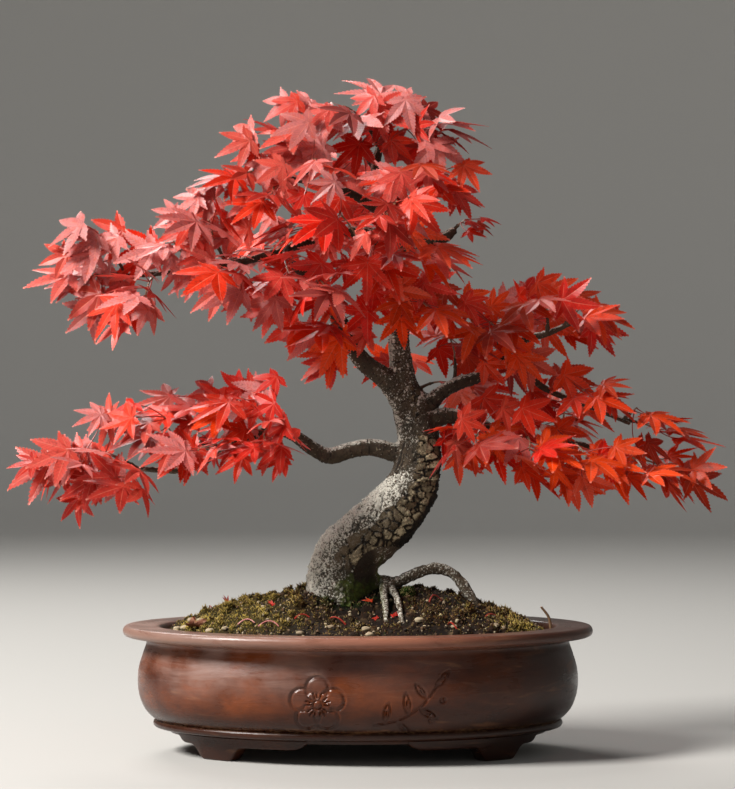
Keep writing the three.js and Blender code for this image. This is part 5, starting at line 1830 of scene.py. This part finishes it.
BALL_MIDDLE = np.array([34.0, -12.0, 108.2])
BALL_RADIUS = 4.8
ball_way = moss_rng.normal(size=(1500, 3))
ball_way = unit(ball_way[ball_way[:, 2] > -0.35 * np.linalg.norm(ball_way, axis=1)])
ball_bumps = 1 + 0.08 * ripple(ball_way, 0.5, 3)
rooted = np.vstack([rooted, BALL_MIDDLE + ball_way * (BALL_RADIUS * 0.8 * ball_bumps)[:, None]])
upright = np.vstack([upright, ball_way])
strength = np.concatenate([strength, np.full(len(ball_way), 0.45)])
tones = np.concatenate([tones, np.full(len(ball_way), 0.1)])
print("moss shoots:", len(rooted))

# %% Growing the shoots
lean = unit(upright + 0.75 * moss_rng.normal(size=rooted.shape) * [1, 1, 0.35])
tall = (0.9 + 2.2 * strength) * moss_rng.uniform(0.6, 1.35, len(rooted))
wide = moss_rng.uniform(0.34, 0.62, len(rooted)) * (0.8 + 0.4 * strength)
side_way = unit(np.cross(lean, moss_rng.normal(size=rooted.shape)))
other_way = np.cross(lean, side_way)
SHOOT_SIDES = 3
shoot_rings = []
for k in range(SHOOT_SIDES):
    a = 2 * math.pi * k / SHOOT_SIDES
    outwards = math.cos(a) * side_way + math.sin(a) * other_way
    shoot_rings.append(rooted - lean * 0.5 + outwards * wide[:, None])
tips = rooted + lean * tall[:, None]
moss_points = np.stack([*shoot_rings, tips], axis=1).reshape(-1, 3)
base = 4 * np.arange(len(rooted))[:, None]
moss_faces = np.concatenate([base + np.array(f) for f in ([0, 1, 3], [1, 2, 3], [2, 0, 3], [2, 1, 0])])

BALL_RINGS, BALL_SIDES = 9, 16
latitudes = np.linspace(-0.5 * math.pi, 0.5 * math.pi, BALL_RINGS + 2)[1:-1]
ball_core = np.vstack([[(math.cos(b) * math.cos(a), math.cos(b) * math.sin(a), math.sin(b))
                        for a in circle(BALL_SIDES)] for b in latitudes] + [[(0, 0, -1)], [(0, 0, 1)]])
ball_points = BALL_MIDDLE + ball_core * BALL_RADIUS * 0.84
moss_body, ball_body = (moss_points, [moss_faces]), (ball_points, closed_faces(BALL_RINGS, BALL_SIDES))
all_points, all_faces = gather([moss_body, ball_body])
moss = make_object("moss", placed(all_points), all_faces)
shoot_tint = moss_rng.normal(0, 0.13, len(rooted))
for name, on_shoots, on_ball in (
        ("tone", np.clip(np.repeat(tones + shoot_tint, 4), 0, 1), 0.05),
        ("tip", np.tile([0.0, 0.0, 0.0, 1.0], len(rooted)), 0.1),
        ("chance", np.repeat(moss_rng.random(len(rooted)), 4), 0.0)):
    give_values(moss, name, np.concatenate([on_shoots, np.full(len(ball_points), on_ball)]))

# %% The moss's material
moss_material, tree, shader = new_material("moss", Roughness=0.9, Specular_IOR_Level=0.15)
tone = stored(tree, "tone")
chance = stored(tree, "chance")
low_colour = blend(tree, spread(tree, tone, 0.2, 0.5), rgb(12, 19, 6), rgb(26, 14, 8))
low_colour = blend(tree, spread(tree, tone, 0.5, 0.85), low_colour, rgb(58, 46, 14))
tip_colour = blend(tree, spread(tree, tone, 0.2, 0.5), rgb(60, 88, 28), rgb(114, 72, 38))
tip_colour = blend(tree, spread(tree, tone, 0.5, 0.85), tip_colour, rgb(214, 186, 92))
tip_colour = blend(tree, spread(tree, chance, 0.80, 0.84, 0.0, 0.7), tip_colour, rgb(214, 190, 130))
tip_colour = blend(tree, spread(tree, chance, 0.24, 0.18, 0.0, 0.7), tip_colour, rgb(54, 22, 12))
toward_tip = maths(tree, "POWER", stored(tree, "tip"), 1.6)
feed(tree, shader, "Base Color", blend(tree, toward_tip, low_colour, tip_colour))
finish_piece(moss, moss_material, "soil")

# %% [markdown]
# ## Grit and litter
#
# Between the moss lie grains of the planting mix, a few rounded pebbles, and what the tree has dropped:
# pink petioles, bits of red leaf and one dry curled leaf. Grains are twenty-sided solids pushed out of
# shape, each sunk by a third into the bed.

# %% Grains and pebbles
PHI = (1 + 5 ** 0.5) / 2
ICO_POINTS = unit([(-1, PHI, 0), (1, PHI, 0), (-1, -PHI, 0), (1, -PHI, 0), (0, -1, PHI), (0, 1, PHI),
                   (0, -1, -PHI), (0, 1, -PHI), (PHI, 0, -1), (PHI, 0, 1), (-PHI, 0, -1), (-PHI, 0, 1)])
ICO_FACES = np.array([(0, 11, 5), (0, 5, 1), (0, 1, 7), (0, 7, 10), (0, 10, 11), (1, 5, 9), (5, 11, 4),
                      (11, 10, 2), (10, 7, 6), (7, 1, 8), (3, 9, 4), (3, 4, 2), (3, 2, 6), (3, 6, 8),
                      (3, 8, 9), (4, 9, 5), (2, 4, 11), (6, 2, 10), (8, 6, 7), (9, 8, 1)])


def finer(points, faces):
    """Splits each triangle of a ball into four."""
    points = points.tolist()
    middles, split = {}, []

    def middle(a, b):
        key = (min(a, b), max(a, b))
        if key not in middles:
            middles[key] = len(points)
            points.append(unit(np.array(points[a]) + np.array(points[b])).tolist())
        return middles[key]
    for a, b, c in faces.tolist():
        ab, bc, ca = middle(a, b), middle(b, c), middle(c, a)
        split += [(a, ab, ca), (b, bc, ab), (c, ca, bc), (ab, bc, ca)]
    return np.array(points), np.array(split)


GRAINS = 1500
GRAIN_MARGIN = 4
PEBBLES = [
    # x, y, radius, tone from 0 (dark) to 1 (pale)
    (5.5, -64, 2.6, 0.85), (41, -56, 2.9, 0.95), (8, -80, 2.5, 0.8), (21, -82, 2.3, 0.9),
    (-122, -18, 2.8, 0.9), (-117, -25, 2.6, 1.0), (-112, -20, 3.1, 0.8), (-106, -27, 2.4, 0.9),
    (-18, -57, 2.1, 0.7), (64, -60, 2.0, 0.8), (-38, -71, 2.4, 0.75), (-99, -44, 2.6, 0.9),
    (-88, -56, 2.2, 0.85), (92, -44, 2.3, 0.7),
    (104, 24, 3.0, 0.8), (-60, 58, 2.7, 0.85), (22, 72, 2.9, 0.8), (-14, 58, 2.2, 0.7), (76, 48, 2.5, 0.9),
]
stones = []
stone_tones = []
while len(stones) < GRAINS:
    x = moss_rng.uniform(-1, 1) * (SOIL_HALF - GRAIN_MARGIN)
    y = moss_rng.uniform(-1, 1) * (SOIL_HALF_DEPTH - GRAIN_MARGIN)
    if inside_trunk(x, y) or not inside_bed(x, y, GRAIN_MARGIN):
        continue
    radius = 0.45 + 0.9 * moss_rng.random() ** 2.2
    shape = ICO_POINTS * moss_rng.uniform(0.72, 1.2, (12, 1)) * moss_rng.uniform(0.7, 1.25, 3)
    stones.append((shape * radius + [x, y, bed_under(x, y) + 0.35 * radius + 0.5], [ICO_FACES]))
    stone_tones.append(np.full(12, moss_rng.random() ** 1.3))
round_points, round_faces = finer(*finer(ICO_POINTS, ICO_FACES))
for x, y, radius, tone in PEBBLES:
    shape = round_points * (1 + 0.24 * ripple(round_points, 0.8, x))[:, None] * [1.15, 0.95, 0.66]
    stones.append((shape * radius + [x, y, bed_under(x, y) + 0.25 * radius + 0.4], [round_faces]))
    stone_tones.append(np.full(len(round_points), tone))
grit_points, grit_faces = gather(stones)
grit = make_object("grit", placed(grit_points), grit_faces, smooth_angle=50)
give_values(grit, "tone", np.concatenate(stone_tones))

grit_material, tree, shader = new_material("grit", Roughness=0.75, Specular_IOR_Level=0.35)
grain = grained(tree, 0.6, 0.3)
tone = stored(tree, "tone")
colour = blend(tree, spread(tree, tone, 0.0, 0.35), rgb(34, 24, 18), rgb(92, 66, 44))
colour = blend(tree, spread(tree, tone, 0.45, 0.95), colour, rgb(172, 156, 128))
colour = blend(tree, times(tree, grain["Specks"], 0.3), colour, rgb(86, 74, 60))
feed(tree, shader, "Base Color", colour)
add_relief(tree, shader, grain["Height"], 0.25)
finish_piece(grit, grit_material, "soil")

# %% Fallen stalks and leaf bits
litter = []
litter_marks = []


def lay(body, across, along_share, tones, stem):
    """Adds a body to the litter, with its marks."""
    litter.append(body)
    litter_marks.append(marks_of(len(body[0]), across, along_share, tones, stem))


STALKS = [
    # x, y, turn in degrees, length, lift
    (-80, -44, -20, 12, 3.0), (-66, -53, -24, 15, 3.6), (48, -29, 48, 13, 4.4), (66, -63, 130, 9, 3.0),
    (-42, -48, 15, 10, 2.4), (-8, -50, 160, 11, 2.6), (86, -30, 30, 12, 2.6), (-30, 56, 70, 12, 3.0),
    (60, 50, 10, 13, 3.2), (-100, 12, 100, 11, 2.8),
]
for x, y, turn, length, lift in STALKS:
    way_x, way_y = heading(turn)
    ends = [np.array([x + s * way_x, y + s * way_y]) for s in (0, length)]
    start, end = [np.array([*p, bed_under(*p) + 0.6]) for p in ends]
    top = (start + end) / 2 + [-2.5 * way_y, 2.5 * way_x, 2 * lift]
    stalk = sweep(lambda t: bow(start, top, end, t), lambda t: 0.42 + 0.3 * (1 - t) ** 3, 6, 12)
    lay(stalk, 0, 0, (0.2, 0.8, 0.0), 1.0)

LEAF_BITS = [
    # x, y, length, turn in degrees, tone
    (-57, -30, 6.5, 40, 0.5), (23, -45, 7.0, -60, 0.55), (13, -43, 6.0, 130, 0.3), (9, -24, 7.0, 80, 1.0),
    (-90, 20, 9.0, 20, 0.5), (40, 54, 10.0, 200, 0.6), (-34, 66, 8.0, 120, 0.7),
]
bit_rng = random.Random(9)
for x, y, length, turn, tone in LEAF_BITS:
    blade = BLADES[5]
    local, across, along_share = blade_points(blade, length, bit_rng)
    local = local * [0.42, 1.0, 1.0] + [[0, 0, 1]] * (0.05 * (local[:, [0]] ** 2))
    way_x, way_y = heading(turn)
    x_turned = local[:, 0] * way_x - local[:, 1] * way_y
    y_turned = local[:, 0] * way_y + local[:, 1] * way_x
    turned = np.stack([x_turned, 0.6 * y_turned - 0.5 * local[:, 2], 0.7 * y_turned + local[:, 2]], axis=1)
    spot = np.array([x, y, bed_under(x, y) + 0.2 * length])
    lay((turned + spot, [blade.faces]), across, along_share, (tone, 0.1, 0.2), 0.0)

curled_points, across, along_share = blade_points(BLADES[7], 17.0, bit_rng)
CURL_RADIUS = 4.4
roll = curled_points[:, 0] / 4.6
curled_points = np.stack([curled_points[:, 1] * 0.95,
                          CURL_RADIUS * np.sin(roll) + 0.25 * curled_points[:, 2],
                          CURL_RADIUS * (1 - np.cos(roll)) + curled_points[:, 2]], axis=1)
spot = np.array([-112.0, -36.0, bed_under(-104, -38) + 1.0])
curled = make_object("curled_leaf", placed(curled_points + spot), [BLADES[7].faces], smooth_angle=25)

STUB = [(131.5, -6.0, 80.0, 1.1), (130.0, -6.5, 91.0, 1.0), (124.6, -7.5, 98.6, 0.8)]
stub_line = Line(STUB)
lay(sweep(stub_line.point, stub_line.radius, 10, 12), 0, 0, (0.3, 0, 0.3), 0.5)
litter_points, litter_faces = gather(litter)
litter_piece = make_object("litter", placed(litter_points), litter_faces, smooth_angle=30)
give_marks(litter_piece, litter_marks)
finish_piece(litter_piece, leaf_material, "leaf")

dry_material, tree, shader = new_material("dry_leaf", Roughness=0.7, Specular_IOR_Level=0.3)
feed(tree, shader, "Base Color", mottled(tree, 4.0, (1, 1, 1), rgb(150, 96, 74), rgb(186, 140, 112),
                                         rgb(112, 62, 48), 0.5))
add_relief(tree, shader, grained(tree, 0.7, 0.3)["Height"], 0.2)
finish_piece(curled, dry_material, "leaf")

# %% [markdown]
# ## Floor, light and camera
#
# The object stands on a plain pale floor that curves up into a wall all round, so that no edge shows from
# any side. A lamp from the upper left gives form, one from behind makes the leaves glow at their edges,
# and the pale wall fills the shadows softly. The camera looks level from two metres away through a long
# lens.

# %% The stage
FLOOR_RADIUS = 3.2
SWEEP_RADIUS = 1.3
WALL_TOP = 4.0
bowl = [(r, 0.0) for r in (0.4, 1.6, FLOOR_RADIUS)]
bowl += [(FLOOR_RADIUS + SWEEP_RADIUS * math.sin(a), SWEEP_RADIUS * (1 - math.cos(a)))
         for a in np.linspace(0, math.pi / 2, 13)[1:]]
bowl.append((FLOOR_RADIUS + SWEEP_RADIUS, WALL_TOP))
SPOKES = 96
turns = circle(SPOKES)
rings = [np.stack([r * np.cos(turns), r * np.sin(turns), np.full(SPOKES, z)], axis=1) for r, z in bowl]
bowl_points = np.vstack(rings + [np.zeros((1, 3))])
centre_fan = fan_faces(0, SPOKES, len(bowl_points) - 1)
floor = make_object("floor", bowl_points, [strip_faces(len(bowl), SPOKES)[:, ::-1], centre_fan])
floor_material, tree, shader = new_material("pale_floor", Roughness=0.9, Specular_IOR_Level=0.1,
                                            Base_Color=rgb(184, 182, 178))
floor.data.materials.append(floor_material)


def add_lamp(name, place, aim, size, power, colour):
    """A soft square lamp that looks at a point."""
    lamp = bpy.data.lights.new(name, "AREA")
    lamp.size = size
    lamp.energy = power
    lamp.color = colour[:3]
    holder = bpy.data.objects.new(name, lamp)
    bpy.context.scene.collection.objects.link(holder)
    holder.location = place
    holder.rotation_euler = (Vector(aim) - Vector(place)).to_track_quat("-Z", "Y").to_euler()


TREE_MIDDLE = (0.0, 0.0, 0.24)
add_lamp("key", (-1.6, -0.85, 1.7), TREE_MIDDLE, 0.7, 102, (1.0, 0.98, 0.95))
add_lamp("back", (-0.7, 1.5, 1.8), TREE_MIDDLE, 0.9, 28, (1.0, 0.98, 0.96))
add_lamp("fill", (0.6, -2.4, 1.0), TREE_MIDDLE, 1.6, 3, (0.95, 0.97, 1.0))

world = bpy.data.worlds.new("studio")
bpy.context.scene.world = world
world.use_nodes = True
sky = world.node_tree.nodes["Background"]
sky.inputs["Color"].default_value = rgb(214, 220, 226)
sky.inputs["Strength"].default_value = 0.22

# %% The camera
CAMERA_HEIGHT = 0.243
CAMERA_DISTANCE = 2.02
CAMERA_SIDE = 0.0065
lens = bpy.data.cameras.new("camera")
lens.lens = 135
lens.sensor_width = 36
camera = bpy.data.objects.new("camera", lens)
bpy.context.scene.collection.objects.link(camera)
camera.location = (POT_MIDDLE[0] + CAMERA_SIDE, POT_MIDDLE[1] - CAMERA_DISTANCE, CAMERA_HEIGHT)
camera.rotation_euler = (math.radians(90), 0, 0)
bpy.context.scene.camera = camera
bpy.context.scene.view_settings.view_transform = "Standard"

# %% Size and finish
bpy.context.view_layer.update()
total = sum(sum(len(p.vertices) - 2 for p in o.data.polygons) for o in bpy.data.objects if o.type == "MESH")
print("triangles in all:", total)
